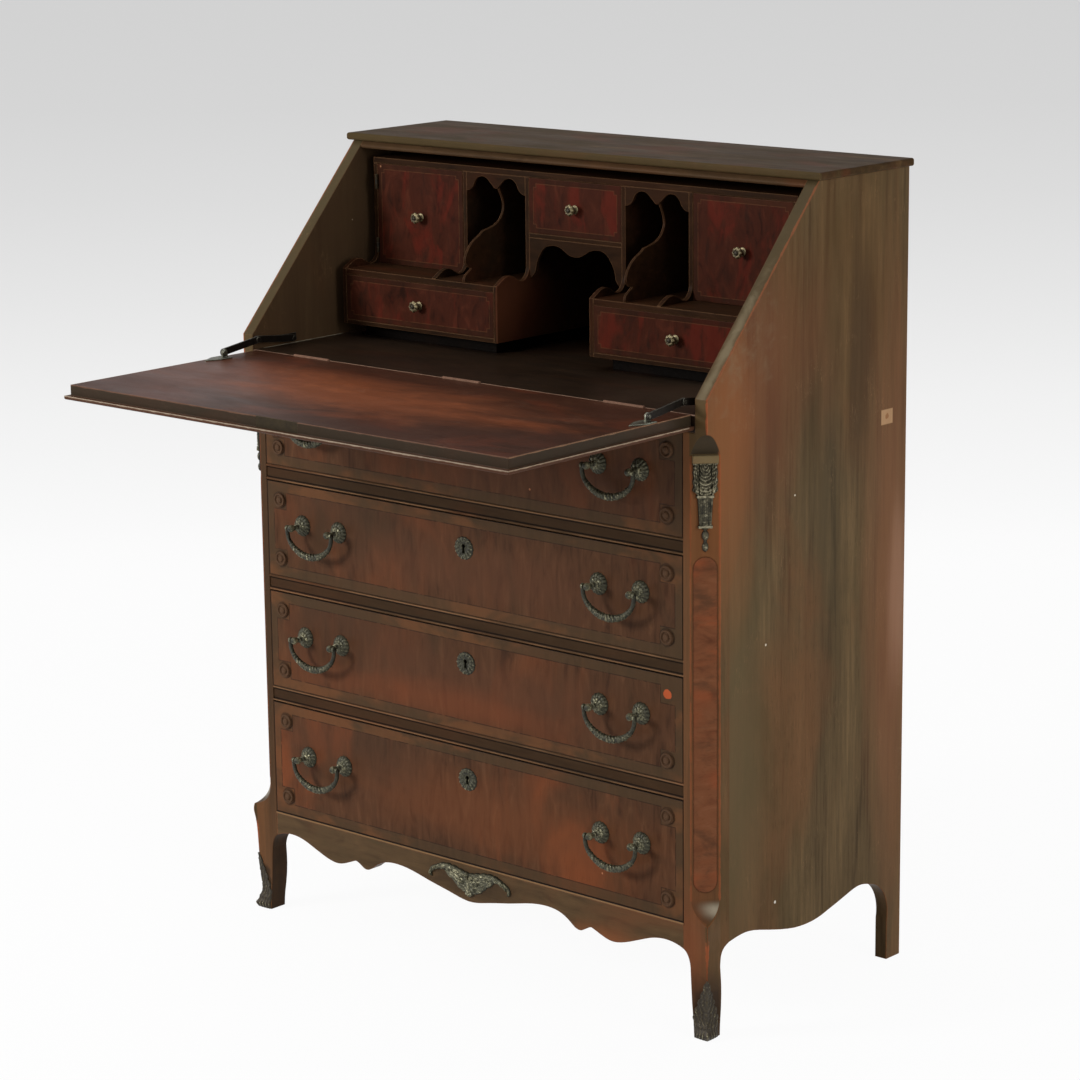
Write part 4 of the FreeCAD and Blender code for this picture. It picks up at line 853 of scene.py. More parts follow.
@dataclass(frozen=True)
class Arris:
    """A line of another tone along one straight edge of the desk: mostly wear, and along the bed's outer edges painted
    highlight and wear.
    """

    start: tuple[float, float, float]
    end: tuple[float, float, float]
    width: float
    colour: Colour
    share: float = 0.9
    ragged: float = 2.4

    def __call__(self, make: Finisher, coat: Coat) -> Coat:
        """Mixes the line's tone in near the line from start to end and its mirror image, by distance and noise.

        Distance = |p - start - (end - start) * t|, with t the clamped share along the line.
        """
        run = [b - a for a, b in zip(self.start, self.end)]
        length = sum(value * value for value in run)
        offset = make.node("ShaderNodeVectorMath", {"operation": "SUBTRACT"}, {0: make.paired(), 1: self.start})
        dot = make.node("ShaderNodeVectorMath", {"operation": "DOT_PRODUCT"}, {0: offset, 1: run}, output="Value")
        share = dot.math("MULTIPLY", dot, 1 / length, clamp=True)
        along = make.node("ShaderNodeVectorMath", {"operation": "SCALE"}, {0: run, "Scale": share})
        gap = make.node("ShaderNodeVectorMath", {"operation": "SUBTRACT"}, {0: offset, 1: along})
        away = make.node("ShaderNodeVectorMath", {"operation": "LENGTH"}, {0: gap}, output="Value")
        noise = make.noise(make.place, 70.0, 5.0, 0.7)
        mark = (away / self.width + (noise - 0.5) * self.ragged).between(1.0, 0.35) * self.share
        return coat.with_layer(make.mix(mark, coat.colour, self.colour), coat.roughness + mark * 0.08)


# Castings


@dataclass
class Handles:
    """The handle plates, keyhole plates and bails of one long drawer."""

    number: int
    bronze: bpy.types.Material
    iron: bpy.types.Material
    spacing: float = 32.2 * MM
    reach: float = 21.0 * MM
    plate_half_width: float = 13.2 * MM
    plate_half_height: float = 13.6 * MM
    ribs: int = 15
    drop: float = 33.0 * MM
    end_radius: float = 2.6 * MM
    grip_radius: float = 4.1 * MM
    keyhole_half_width: float = 15.4 * MM
    keyhole_half_height: float = 14.6 * MM
    eye_gap: float = 0.4 * MM
    eye_length: float = 3.2 * MM
    ball: float = 4.8 * MM
    swing_in: float = math.radians(30)
    clearance: float = 0.4 * MM

    def pivot(self, side: str) -> np.ndarray:
        """Where the bail on one side turns: at the top of its eyes' middles, from the node's own box."""
        low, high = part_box(f"drawer_{self.number}_bail_{side}")
        return np.array([(low.x + high.x) / 2, FRONT_Y - self.reach, high.z - 3.6 * MM])

    def plate(self) -> Form:
        """A leafy domed plate that faces -y, centred at the origin.

        Radius = outline (1 + 0.05 |cos(ribs a / 2)|); height = dome (1 - r^2.6)^0.6, plus an outer tier of ribs,
        an inner tier of eight broad leaves with a scalloped edge, and fine veins.

        Returns:
            The form.
        """
        r = np.concatenate([np.linspace(0, 1, 40), [1.0]])[:, None]
        a = np.linspace(0, 2 * np.pi, 180, endpoint=False)[None, :]
        rib = np.abs(np.cos(self.ribs * a / 2))
        petal = np.abs(np.cos(4 * a + 0.4))
        lobe = 0.97 + 0.05 * rib
        swell = np.clip(1 - r ** 2.6, 0, 1) ** 0.6
        edge = 0.55 + 0.09 * petal
        tier = 1 - smooth_step(r, edge - 0.05, edge + 0.05)
        outer = 1.1 * (rib - 0.5) * smooth_step(r, 0.42, 0.85) * (1 - tier)
        inner = tier * (0.9 + 0.9 * (petal - 0.4) * smooth_step(r, 0.15, 0.40))
        veins = 0.22 * np.sin(16 * a + 9 * r) * np.sin(15 * r)
        height = (5.8 * swell + (outer + inner + veins) * swell ** 0.4) * MM
        height = np.maximum(height, 0.7 * MM)
        height[-1] = 0.0
        x = r * lobe * self.plate_half_width * np.cos(a)
        z = r * lobe * self.plate_half_height * np.sin(a)
        points = np.stack([x, -height, z], axis=-1)
        shade = 0.34 + 0.15 * outer + 0.16 * inner + 0.5 * veins + 0.12 * swell
        form = Form().grid(points, wrap=True, relief=np.clip(shade, 0, 1))
        back = np.zeros((2, a.shape[1], 3))
        back[0] = points[-1]
        return form.grid(back, wrap=True, relief=np.zeros((2, 1)))

    def post(self) -> Form:
        """The turned post with its collars and ball, along -y from the plate."""
        profile = eased([(0.0, 5.6), (4.2, 5.8), (4.5, 7.4), (3.0, 8.6), (2.2, 10.4), (2.3, 11.8), (3.6, 12.6),
                         (3.7, 13.6), (2.5, 14.6), (2.5, 15.8), (3.9, 17.8), (4.7, 21.0), (4.2, 23.4), (2.7, 25.1),
                         (1.4, 25.7), (0.0, 25.8)], 4)
        scale = self.reach / (21.0 * MM)
        form = turned([(r * MM, h * MM * scale) for r, h in profile], np.array([0, -1.0, 0]),
                      np.array([1.0, 0, 0]), 28)
        form.relief = [relief * 0.85 for relief in form.relief]
        return form

    def clear_of_front(self, points: np.ndarray) -> np.ndarray:
        """Flattens the back of the bail, so that it stays clear of the drawer at the inner end of its swing.

        Swung in by the angle t, a point lies y cos t - z sin t behind the pivot, and that may not pass the reach less
        the clearance.

        Args:
            points: Points of the bail about its pivot.

        Returns:
            The points, with y kept under the plane.
        """
        room = self.reach - self.clearance
        kept = points.copy()
        kept[:, 1] = np.minimum(points[:, 1], (room + points[:, 2] * math.sin(self.swing_in)) / math.cos(self.swing_in))
        return kept

    def bail(self) -> Form:
        """The hanging handle about its pivot: eyes, short straights, two round corners and a wide bow.

        The bar's radius swells from the end radius to the grip radius at its middle. Overlapping leaves add
        0.85 |sin(pi s / 6.2 + 1.1 cos 2a)| and finer folds, and rings close the leafy stretch.

        Returns:
            The form.
        """
        half = self.spacing + self.ball + self.eye_gap + self.eye_length / 2
        straight = 3.6 * MM * 1.2
        corner = self.drop * 0.66
        depth = self.drop - straight
        inner = half - corner
        wide = (inner ** 2 + depth ** 2 - corner ** 2) / (2 * (depth - corner))
        turn = math.atan2(inner, wide - depth)
        bow = np.linspace(0, turn, 110)
        bend = np.linspace(turn, np.pi / 2, 34)[1:]
        right = np.concatenate([
            np.stack([wide * np.sin(bow), wide - self.drop - wide * np.cos(bow)], axis=-1),
            np.stack([inner + corner * np.sin(bend), -straight - corner * np.cos(bend)], axis=-1),
            np.stack([np.full(6, half), np.linspace(-straight, 0, 7)[1:]], axis=-1)])
        line = np.concatenate([right[::-1] * [-1, 1], right[1:]])
        path = np.stack([line[:, 0], np.zeros(len(line)), line[:, 1]], axis=-1)
        steps = np.linalg.norm(np.diff(path, axis=0), axis=1)
        s = np.concatenate([[0], np.cumsum(steps)])
        s = (s - s[-1] / 2) / MM
        a = np.linspace(0, 2 * np.pi, 28, endpoint=False)[None, :]
        column = s[:, None]
        leafy = smooth_step(np.abs(column), 36, 26)
        grip = (self.grip_radius - self.end_radius) / MM
        base = self.end_radius / MM + grip * smooth_step(np.abs(column), 44, 9)
        drift = 0.7 * np.sin(0.31 * column + 2.0 * np.sin(a)) + 0.5 * np.sin(1.07 * column - a)
        leaf = np.abs(np.sin(np.pi * column / 6.2 + 1.1 * np.cos(2 * a) + drift))
        folds = 0.28 * np.sin(3 * a + 1.2 * column) + 0.18 * np.sin(5 * a - 2.1 * column)
        rings = 0.7 * (hump(np.abs(column), 33.5, 1.0) + 0.7 * hump(np.abs(column), 37.5, 0.9) + hump(column, 0.0, 1.2))
        radius = (base - 0.40 * leafy + (0.75 * leaf + folds) * leafy + rings) * MM
        form = tube(path, radius, 28).moved(self.clear_of_front)
        form.relief = [np.concatenate([np.zeros(28), (0.24 + 0.36 * (leaf + folds) * leafy + 0.4 * rings).ravel(),
                                       np.zeros(28)]).clip(0, 1)]
        for sign in (-1, 1):
            centre = np.array([sign * half, 0, 0])
            outward = np.array([sign * 1.0, 0, 0])
            eye = turned([(r * MM, h * MM) for r, h in eased([
                (0.0, -1.6), (3.2, -1.6), (3.6, -1.0), (3.6, 1.0), (3.2, 1.6), (1.9, 1.7), (1.7, 2.2), (0.0, 2.3)], 3)],
                outward, np.array([0, 0, 1.0]), 24)
            pin = turned([(0.0, -6.6 * MM), (1.6 * MM, -6.6 * MM), (1.6 * MM, 0.0), (0.0, 0.0)], outward,
                         np.array([0, 0, 1.0]), 14)
            for part in (eye, pin):
                part.relief = [relief * 0.6 for relief in part.relief]
                form.joined(part.moved(lambda points, c=centre: points + c))
        return form

    def keyhole_plate(self) -> Form:
        """A leafy oval plate round its keyhole.

        Points run from the keyhole's outline K to the outer outline O: P = K + t (O - K). The outer outline has
        fourteen lobes, and the height is a bead round the keyhole, a ring of leaves and a row of pearls.

        Returns:
            The form, about the middle of the plate.
        """
        a = np.linspace(0, 2 * np.pi, 224, endpoint=False)
        lobe = 0.95 + 0.05 * np.abs(np.cos(7 * a))
        outer = np.stack([self.keyhole_half_width / MM * lobe * np.cos(a),
                          self.keyhole_half_height / MM * lobe * np.sin(a)], axis=-1)
        sine, cosine = np.sin(a), np.cos(a)
        slot = np.minimum(1.5 / np.maximum(np.abs(cosine), 1e-3), 8.2 / np.maximum(-sine, 1e-3))
        hole = np.where(sine > -0.5, 2.7, np.maximum(slot, 1.5))
        inner = np.stack([hole * cosine, hole * sine + 2.4], axis=-1)
        t = np.concatenate([[0.0], np.linspace(0, 1, 36), [1.0]])[:, None, None]
        flat = inner[None] + t * (outer - inner)[None]
        share = t[:, :, 0]
        leaves = np.abs(np.cos(7 * a))[None] ** 0.8
        curls = np.abs(np.sin(14 * a + 5 * share))
        pearls = (0.5 + 0.5 * np.cos(14 * a + 0.3)) ** 3
        height = (0.7 + 1.2 * hump(share, 0.08, 0.06) + 1.5 * hump(share, 0.55, 0.22) * (0.35 + 0.65 * leaves)
                  + 0.6 * hump(share, 0.70, 0.18) * curls + 0.5 * hump(share, 0.32, 0.09) * (1 - leaves)
                  + 1.3 * hump(share, 0.86, 0.07) * pearls)
        height = height * smooth_step(share, 1.02, 0.93) + 0.3
        height[0] = 0.0
        height[-1] = 0.0
        points = np.stack([flat[..., 0], -height, flat[..., 1]], axis=-1) * MM
        shade = 0.08 + 0.14 * height + 0.55 * hump(share, 0.86, 0.06) * pearls + 0.2 * hump(share, 0.08, 0.05)
        form = Form().grid(points, wrap=True, relief=np.clip(shade, 0, 1))
        back = np.stack([points[0], points[-1]])[::-1]
        return form.grid(back, wrap=True, relief=np.zeros((2, 1)))

    def build(self) -> None:
        """Makes the plates, keyhole plate, lock and bails of the drawer, each on its body."""
        node = f"drawer_{self.number}_hardware"
        plates = Form()
        for side in ("left", "right"):
            pivot = self.pivot(side)
            for sign in (-1, 1):
                place = np.array([pivot[0] + sign * self.spacing, FRONT_Y, pivot[2]])
                for part in (self.plate(), self.post()):
                    plates.joined(part.moved(lambda points, p=place: points + p))
            bail = self.bail().moved(lambda points, p=pivot: points + p)
            bail.piece(f"drawer_{self.number}_cast_bail_{side}", self.bronze, f"drawer_{self.number}_bail_{side}",
                       "bronze", [f"drawer_{self.number}_bail_{side}"])
        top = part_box(f"drawer_{self.number}_front")[1].z + 0.9 * MM
        keyhole = self.keyhole_plate().moved(lambda points: points + np.array([0, FRONT_Y, top - 41 * MM]))
        plates.joined(keyhole)
        plates.piece(f"drawer_{self.number}_cast_plates", self.bronze, f"drawer_{self.number}", "bronze", [node])
        lock = Form()
        centre = np.array([0, FRONT_Y + 15 * MM, top - 41 * MM])
        lock.joined(rounded_block(np.array([30.0, 4.0, 19.0]) * MM, 1.0 * MM).moved(lambda points: points + centre))
        lock.piece(f"drawer_{self.number}_lock", self.iron, f"drawer_{self.number}", "lock_metal")


def rounded_block(half: np.ndarray, radius: float, steps: int = 6) -> Form:
    """A block with rounded edges: a superellipsoid-like sheet, sign(c) |c|^p times each half size.

    Args:
        half: Half sizes.
        radius: How round the edges are: over the smallest half size, kept within 0.12 and 0.5, it is the power p.
        steps: Quarter steps round the block.

    Returns:
        The form, about the origin.
    """
    power = max(0.12, min(0.5, radius / float(half.min())))
    lat = np.linspace(-np.pi / 2, np.pi / 2, 4 * steps + 1)[:, None]
    lon = np.linspace(0, 2 * np.pi, 8 * steps, endpoint=False)[None, :]

    def keen(value: np.ndarray) -> np.ndarray:
        return np.sign(value) * np.abs(value) ** power

    unit = np.stack([keen(np.cos(lat)) * keen(np.cos(lon)), keen(np.cos(lat)) * keen(np.sin(lon)),
                     keen(np.sin(lat)) * np.ones_like(lon)], axis=-1)
    return Form().grid(unit * half, wrap=True)


@dataclass
class CornerMounts:
    """The hanging bronze mounts on the two canted corners."""

    bronze: bpy.types.Material
    half_case: float = 379.0 * MM
    leg: float = 24.3 * MM
    top: float = 696.0 * MM
    head: float = 40.0 * MM
    body: float = 34.0 * MM
    collar: float = 3.5 * MM
    finial: float = 29.0 * MM

    def width(self, v: np.ndarray) -> np.ndarray:
        """Half width at a depth v below the top, all in millimetres: shield head, body, collar, two-ball finial."""
        head = 14.4 + 0.5 * np.sin(v * 0.62 + 0.6) - 0.7 * hump(v, 3.4, 1.0) - 4.2 * smooth_step(v, 32.5, 38.0)
        body = 9.3 - (v - 41) / 33 * 2.0
        below = v - 76.5
        ball = 4.2 * np.sqrt(np.clip(1 - ((below - 9.0) / 6.2) ** 2, 0, 1))
        drop = 3.7 * np.sqrt(np.clip(1 - ((below - 22.6) / 5.8) ** 2, 0, 1))
        neck = 2.0 * smooth_step(below, -1, 0) * smooth_step(below, 27, 24)
        cup = 3.6 * hump(below, 1.5, 1.4)
        tip = np.maximum(np.maximum(ball, drop), np.maximum(neck, cup))
        return np.select([v < 38, v < 41, v < 73.6, v < 76.5], [head, np.full_like(v, 10.7), body,
                                                              np.full_like(v, 8.7)], tip)

    def height(self, u: np.ndarray, v: np.ndarray, width: np.ndarray) -> np.ndarray:
        """Relief in millimetres over the corner's face: drapery, side curtains, garland, fluted body and finial.

        The drapery's folds are rings of sqrt((1.9 x)^2 + (v - 1)^2), and the garland is a bright crescent below it.

        Args:
            u: Position across, -1 to 1.
            v: Depth below the top.
            width: Half width there.

        Returns:
            The height.
        """
        x = u * width
        far = np.abs(x)
        edge = np.clip(1 - np.abs(u), 0, 1)
        rim = smooth_step(edge, 0.0, 0.09)
        folds = np.sqrt((x * 1.9) ** 2 + (v - 1) ** 2)
        drape = (2.3 + 0.75 * np.cos(folds * 1.55)) * smooth_step(far, 7.6, 6.4)
        curtains = (2.7 + 0.55 * np.cos(far * 2.7 + 0.25 * v) + 0.45 * np.cos(v * 1.25 + far)) * smooth_step(far, 7.0, 8.0)
        ledge = 1.7 * smooth_step(v, 2.8, 1.8)
        bosses = 1.7 * np.exp(-((far - 12.4) ** 2 + (v - 5.0) ** 2) / 3.5)
        crescent = 2.3 * np.exp(-((v - 25.6 + 0.06 * x ** 2) / 2.0) ** 2) * smooth_step(far, 9.0, 6.0)
        leaves = (1.5 + 1.0 * np.abs(np.cos(x * 0.62))) * hump(v, 32.2, 3.4) * smooth_step(far, 12.5, 9.0)
        veins = 0.35 * np.cos(x * 2.1 + v * 0.9) * hump(v, 31.0, 5.0)
        head = drape + curtains + ledge + bosses + crescent + leaves + veins + 0.5
        strip = 1.5 * np.exp(-(x / 2.0) ** 2) * (0.5 + 0.5 * np.abs(np.sin(v * 0.74)))
        border = 1.1 * np.exp(-((far - width + 1.4) / 0.9) ** 2)
        body = 2.3 + strip + border + 0.25 * np.cos(x * 2.7)
        tip = np.maximum(np.sqrt(np.clip(1 - u ** 2, 0, 1)) * width, 0.3)
        height = np.select([v < 38, v < 41, v < 73.6, v < 76.5],
                           [head, np.full_like(x, 4.6), body, np.full_like(x, 4.6)], tip)
        height = np.where(v < 76.5, height * rim, tip * (edge > 1e-6))
        return np.clip(height, 0, 7.0)

    def build(self) -> None:
        """Makes the right mount on its cant and its mirror image on the left."""
        total = (self.head + self.body + self.collar + self.finial) / MM
        v = np.linspace(0, total, 330)[:, None]
        u = np.linspace(-1, 1, 66)[None, :]
        width = self.width(v) * np.ones_like(u)
        height = self.height(u * np.ones_like(v), v * np.ones_like(u), width)
        height[0] = 0
        height[-1] = 0
        across = u * width * MM
        for side, sign in (("right", 1.0), ("left", -1.0)):
            middle = np.array([sign * (self.half_case - self.leg / 2), FRONT_Y + self.leg / 2, 0])
            out = np.array([sign, -1.0, 0]) / math.sqrt(2)
            along = np.array([sign, 1.0, 0]) / math.sqrt(2)

            def place(x: np.ndarray, down: np.ndarray, rise: np.ndarray, m: np.ndarray = middle,
                      o: np.ndarray = out, t: np.ndarray = along) -> np.ndarray:
                up = np.array([0, 0, 1.0])
                return (m + x[..., None] * t + (rise * MM)[..., None] * o
                        + (self.top - down * MM)[..., None] * up)

            form = relief_plate(across, v * np.ones_like(u), place, height)
            form.piece("corner_mount_" + side, self.bronze, "case", "bronze",
                       ["front_mounts"] if side == "right" else [])


@dataclass
class ApronMount:
    """The leafy casting at the middle of the apron: a centre palmette and two arms of curling leaves."""

    bronze: bpy.types.Material
    low: float = 95.0 * MM
    high: float = 133.0 * MM
    half: float = 67.0 * MM

    def leaf(self, spine: Sequence[tuple[float, float]], width: float, lobes: int, rise: float, lift: float = 0.0,
             start: float = 0.25) -> Form:
        """One leaf along a bent spine.

        Across the spine the half width is width * profile * (1 + 0.22 |sin(lobes pi t)|), and the height has a
        central groove, side veins and edges that curl down.

        Args:
            spine: Points (x, z) in millimetres.
            width: Greatest half width in millimetres.
            lobes: Lobes along each edge.
            rise: Greatest height in millimetres.
            lift: Height of its ground.
            start: Width share at its root.

        Returns:
            The form.
        """
        path = np.array(eased(spine_shift(spine), 14)) - [500.0, 0.0]
        t = np.linspace(0, 1, len(path))[:, None]
        u = np.linspace(-1, 1, 25)[None, :]
        run = np.gradient(path, axis=0)
        run /= np.linalg.norm(run, axis=1)[:, None]
        normal = np.stack([-run[:, 1], run[:, 0]], axis=-1)
        body = (start + (1 - start) * np.sin(np.pi * np.clip(t * 0.95, 0, 1)) ** 0.8) * (1 - t ** 5)
        saw = 0.76 + 0.30 * np.abs(np.sin(lobes * np.pi * t)) ** 0.6
        w = width * body * (1 + (saw - 1) * np.abs(u) ** 1.5)
        veins = 0.34 * np.cos(lobes * 2 * np.pi * (t - 0.12 * np.abs(u)))
        ridge = 0.50 * np.exp(-(u / 0.18) ** 2) * (0.6 + 0.4 * np.abs(np.sin(3 * lobes * np.pi * t)))
        height = rise * (0.50 + ridge + veins * np.abs(u) + 0.25 * np.abs(u)) * np.clip(1 - u ** 6, 0, 1) \
            * smooth_step(t, 1.0, 0.90) * smooth_step(t, 0.0, 0.05) + lift * np.clip(1 - u ** 8, 0, 1)
        height = height * (np.abs(u) < 0.999)
        flat = path[:, None, :] + normal[:, None, :] * (u * w)[..., None]

        def place(x: np.ndarray, z: np.ndarray, h: np.ndarray) -> np.ndarray:
            return np.stack([x * MM, FRONT_Y - h * MM, z * MM], axis=-1)

        height[0] = 0
        height[-1] = 0
        return relief_plate(flat[..., 0], flat[..., 1], place, height)

    def build(self) -> None:
        """Makes the palmette, the arms and the small leaves as one casting."""
        z0 = self.low / MM
        form = Form()
        form.joined(self.leaf([(0, z0 + 25), (0, z0 + 17), (0, z0 + 9), (0, z0 + 0.5)], 12.0, 4, 3.6, 1.4, 0.6))
        form.joined(self.leaf([(0, z0 + 15), (0, z0 + 10), (0, z0 + 6), (0, z0 + 2)], 5.5, 3, 2.6, 2.4, 0.7))
        for sign in (-1.0, 1.0):
            arms = [
                ([(-1, 29), (12, 30.5), (28, 33), (42, 33.4), (56, 29), (66, 20)], 4.8, 7, 3.6, 1.2, 0.6),
                ([(2, 12), (14, 17), (28, 24), (44, 30)], 7.2, 3, 3.0, 0.6, 0.75),
                ([(0, 21), (12, 23), (24, 27), (36, 31)], 5.0, 4, 3.2, 1.4, 0.7),
                ([(0, 25), (8, 28), (15, 24), (11, 18), (6, 19)], 2.8, 2, 3.4, 2.0, 0.8),
                ([(50, 31), (60, 28), (66.5, 21), (64, 15)], 3.0, 3, 3.0, 0.8, 0.6),
                ([(6, 8), (14, 11), (22, 17), (26, 23)], 3.4, 3, 2.6, 0.4, 0.6),
            ]
            for spine, width, lobes, rise, lift, start in arms:
                leaf = self.leaf([(x, z0 + z) for x, z in spine], width, lobes, rise, lift, start)
                form.joined(leaf.moved(lambda points, s=sign: points * [s, 1, 1]))
        form.relief = [relief * 0.8 for relief in form.relief]
        form.piece("apron_mount", self.bronze, "case", "bronze")


def spine_shift(spine: Sequence[tuple[float, float]]) -> list[tuple[float, float]]:
    """A spine moved aside, so that easing it never meets the axis."""
    return [(x + 500.0, z) for x, z in spine]


@dataclass
class Sabots:
    """The bronze shoes of the two front feet, each a skin on the toe with a leaf up the arris."""

    bronze: bpy.types.Material
    half_case: float = 379.0
    foot_top: float = 86.0
    foot_width: float = 25.0
    knee: float = 3.5
    height: float = 75.0
    sections: tuple[tuple[float, float, float, float], ...] = (
        (0.000, 0.78, 0.97, 0.17), (0.081, 0.79, 0.98, 0.63), (0.256, 0.83, 1.02, -0.69), (0.349, 0.86, 1.05, -0.86),
        (0.512, 0.91, 1.08, -0.51), (0.721, 0.95, 1.08, -0.06), (1.000, 1.00, 1.00, 0.26))
    leaf: tuple[tuple[float, float], ...] = (
        (0.0, 19.8), (12.0, 20.2), (20.0, 19.0), (36.0, 15.0), (50.0, 10.5), (61.0, 6.4), (70.0, 3.4), (75.0, 0.4))

    def face(self, z: np.ndarray, s: np.ndarray, level: np.ndarray, width: np.ndarray) -> np.ndarray:
        """Points of the shoe in millimetres, on the right foot.

        Across the toe, s runs from -1 on the front face over the arris to 1 on the side face. The wood's face runs
        straight from the swelling arris to its inner edge, and the metal stands off it by level, square to the face
        and turning round the arris.

        Args:
            z: Height of each row.
            s: Position across.
            level: How far the metal stands off the wood.
            width: Half width of the leaf along each face.

        Returns:
            Array of rows x columns x 3.
        """
        at, front, side, proud = np.array(self.sections).T
        heights = at * self.foot_top
        swell = np.interp(z, heights, proud) * self.knee
        front_width = np.interp(z, heights, front) * self.foot_width + swell
        side_width = np.interp(z, heights, side) * self.foot_width + swell
        away = np.abs(s) * width
        is_front = s < 0
        share = np.clip(away / np.where(is_front, front_width, side_width), 0, 1.2)
        x = np.where(is_front, self.half_case + swell - share * front_width, self.half_case + swell * (1 - share))
        y = np.where(is_front, -swell * (1 - share), -swell + share * side_width)
        turn = (np.clip(s * width / 3.0, -1, 1) + 1) * np.pi / 4
        x = x + level * np.sin(turn)
        y = y - level * np.cos(turn)
        return np.stack([x, y, z * np.ones_like(s)], axis=-1)

    def build(self) -> None:
        """Makes both shoes, each a lifted sheet, its seat on the wood and the four edges between them."""
        z = np.linspace(0.3, self.height, 170)[:, None]
        s = np.linspace(-1, 1, 71)[None, :]
        lobes = np.abs(np.sin(z * 0.30 + 0.4))
        width = np.interp(z, *np.array(self.leaf).T) * (1 + 0.20 * (lobes - 0.55) * smooth_step(z, 14, 26))
        away = np.abs(s) * width
        uneven = np.sin(z * 0.37 + 1.9 * np.sin(away * 0.31)) + 0.6 * np.sin(z * 1.13 + away * 0.47)
        ribs = 0.32 * np.cos(away * 1.15 - z * 0.25 + uneven) * smooth_step(z, 6, 16) * smooth_step(away, 0.8, 2.5)
        veins = 0.16 * np.cos(z * 0.85 - away * 0.9 + 1.6 * uneven) * smooth_step(z, 12, 20)
        midrib = 0.9 * np.exp(-(away / 1.7) ** 2) * (0.7 + 0.3 * np.sin(z * 0.50 + uneven)) * smooth_step(z, 10, 18)
        toe = 3.0 * hump(z, 5.2, 5.0) * (0.75 + 0.25 * np.cos(away * 1.35)) * (1 - 0.55 * smooth_step(away, 10, 20))
        ankle = 0.7 * hump(z, 15.5, 2.4)
        lift = 1.25 + ribs + veins + midrib + toe + ankle + 0.5 * lobes * np.abs(s) ** 2 * smooth_step(z, 20, 30)
        lift = np.clip(lift * smooth_step(np.abs(s), 1.0, 0.93), 0.0, 4.3) + 0.04
        shade = np.clip(0.15 + 0.8 * (ribs + veins) + 0.2 * midrib + 0.22 * toe * np.cos(away * 1.35), 0, 1)
        top = self.face(z, s, lift, width)
        seat = self.face(z, s, np.full_like(lift, 0.03), width)
        for side, sign in (("right", 1.0), ("left", -1.0)):
            form = Form().grid(top, relief=shade).grid(seat[:, ::-1], relief=np.zeros_like(shade))
            for row in (0, -1):
                form.grid(np.stack([top[row], seat[row]]), relief=np.full((2, 1), 0.15))
            for column in (0, -1):
                form.grid(np.stack([top[:, column], seat[:, column]]), relief=np.full((2, 1), 0.15))
            form.moved(lambda points, g=sign: points * [g * MM, MM, MM] + [0, FRONT_Y, 0])
            form.piece("sabot_" + side, self.bronze, "case", "bronze", ["foot_sabots"] if side == "right" else [])


@dataclass
class Knobs:
    """The small floral brass knobs of the gallery."""

    brass: bpy.types.Material
    radius: float = 7.2 * MM
    reach: float = 14.0 * MM

    def knob(self) -> Form:
        """A knob along -y at the origin: a beaded base, a neck and an eight-petalled head with a round button."""
        axis, side = np.array([0, -1.0, 0]), np.array([1.0, 0, 0])
        r, h = self.radius, self.reach
        base = turned([(a * r, b * h) for a, b in eased([
            (0.0, 0.0), (0.72, 0.0), (0.74, 0.05), (0.62, 0.10), (0.50, 0.12), (0.44, 0.18), (0.40, 0.34),
            (0.42, 0.48), (0.52, 0.53), (0.40, 0.60), (0.0, 0.60)], 4)], axis, side, 32)
        head = turned([(a * r, b * h) for a, b in eased([
            (0.0, 0.55), (0.55, 0.56), (0.92, 0.64), (0.97, 0.70), (0.92, 0.80), (0.74, 0.90), (0.56, 0.91),
            (0.46, 0.86), (0.36, 0.87), (0.28, 0.97), (0.0, 1.0)], 4)], axis, side, 80, 8, 0.08)
        return base.joined(head)

    def build(self) -> None:
        """Makes a knob on each small drawer and on each door, with the doors' hinge leaves beside theirs."""
        for name in ("lower_left", "lower_right", "centre"):
            low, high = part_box("gallery_knob_" + name)
            centre = np.array([(low.x + high.x) / 2, high.y, (low.z + high.z) / 2])
            self.knob().moved(lambda points, c=centre: points + c).piece(
                "floral_knob_" + name, self.brass, "gallery_drawer_" + name, "knob_brass", ["gallery_knob_" + name])
        for side, sign in (("left", -1.0), ("right", 1.0)):
            low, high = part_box("gallery_door_" + side)
            centre = np.array([(low.x + high.x) / 2, low.y, (low.z + high.z) / 2])
            inner, outer = 188.0 * MM, 340.0 * MM
            centre[0] = sign * (inner + outer) / 2
            form = self.knob().moved(lambda points, c=centre: points + c)
            form.joined(self.leaves("gallery_door_" + side + "_hardware"))
            form.piece("floral_knob_door_" + side, self.brass, "gallery_door_" + side, "knob_brass",
                       ["gallery_door_" + side + "_hardware"])

    def leaves(self, node: str) -> Form:
        """The hinge leaves of a door: the faces of its node that lie behind the knob, taken over unchanged."""
        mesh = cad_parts[node].data
        count = len(mesh.vertices)
        points = np.zeros(count * 3, np.float32)
        mesh.vertices.foreach_get("co", points)
        points = points.reshape(-1, 3).astype(float)
        mesh.calc_loop_triangles()
        triangles = np.zeros(len(mesh.loop_triangles) * 3, np.int32)
        mesh.loop_triangles.foreach_get("vertices", triangles)
        triangles = triangles.reshape(-1, 3)
        outer = np.abs(points[triangles][..., 0]).min(axis=1) > 0.330
        corners = points[triangles[outer]]
        form = Form()
        for corner in corners:
            form.grid(np.array([[corner[0], corner[1]], [corner[0], corner[2]]]), relief=np.full((2, 2), 0.05))
        return form


# Woods and metals of the desk


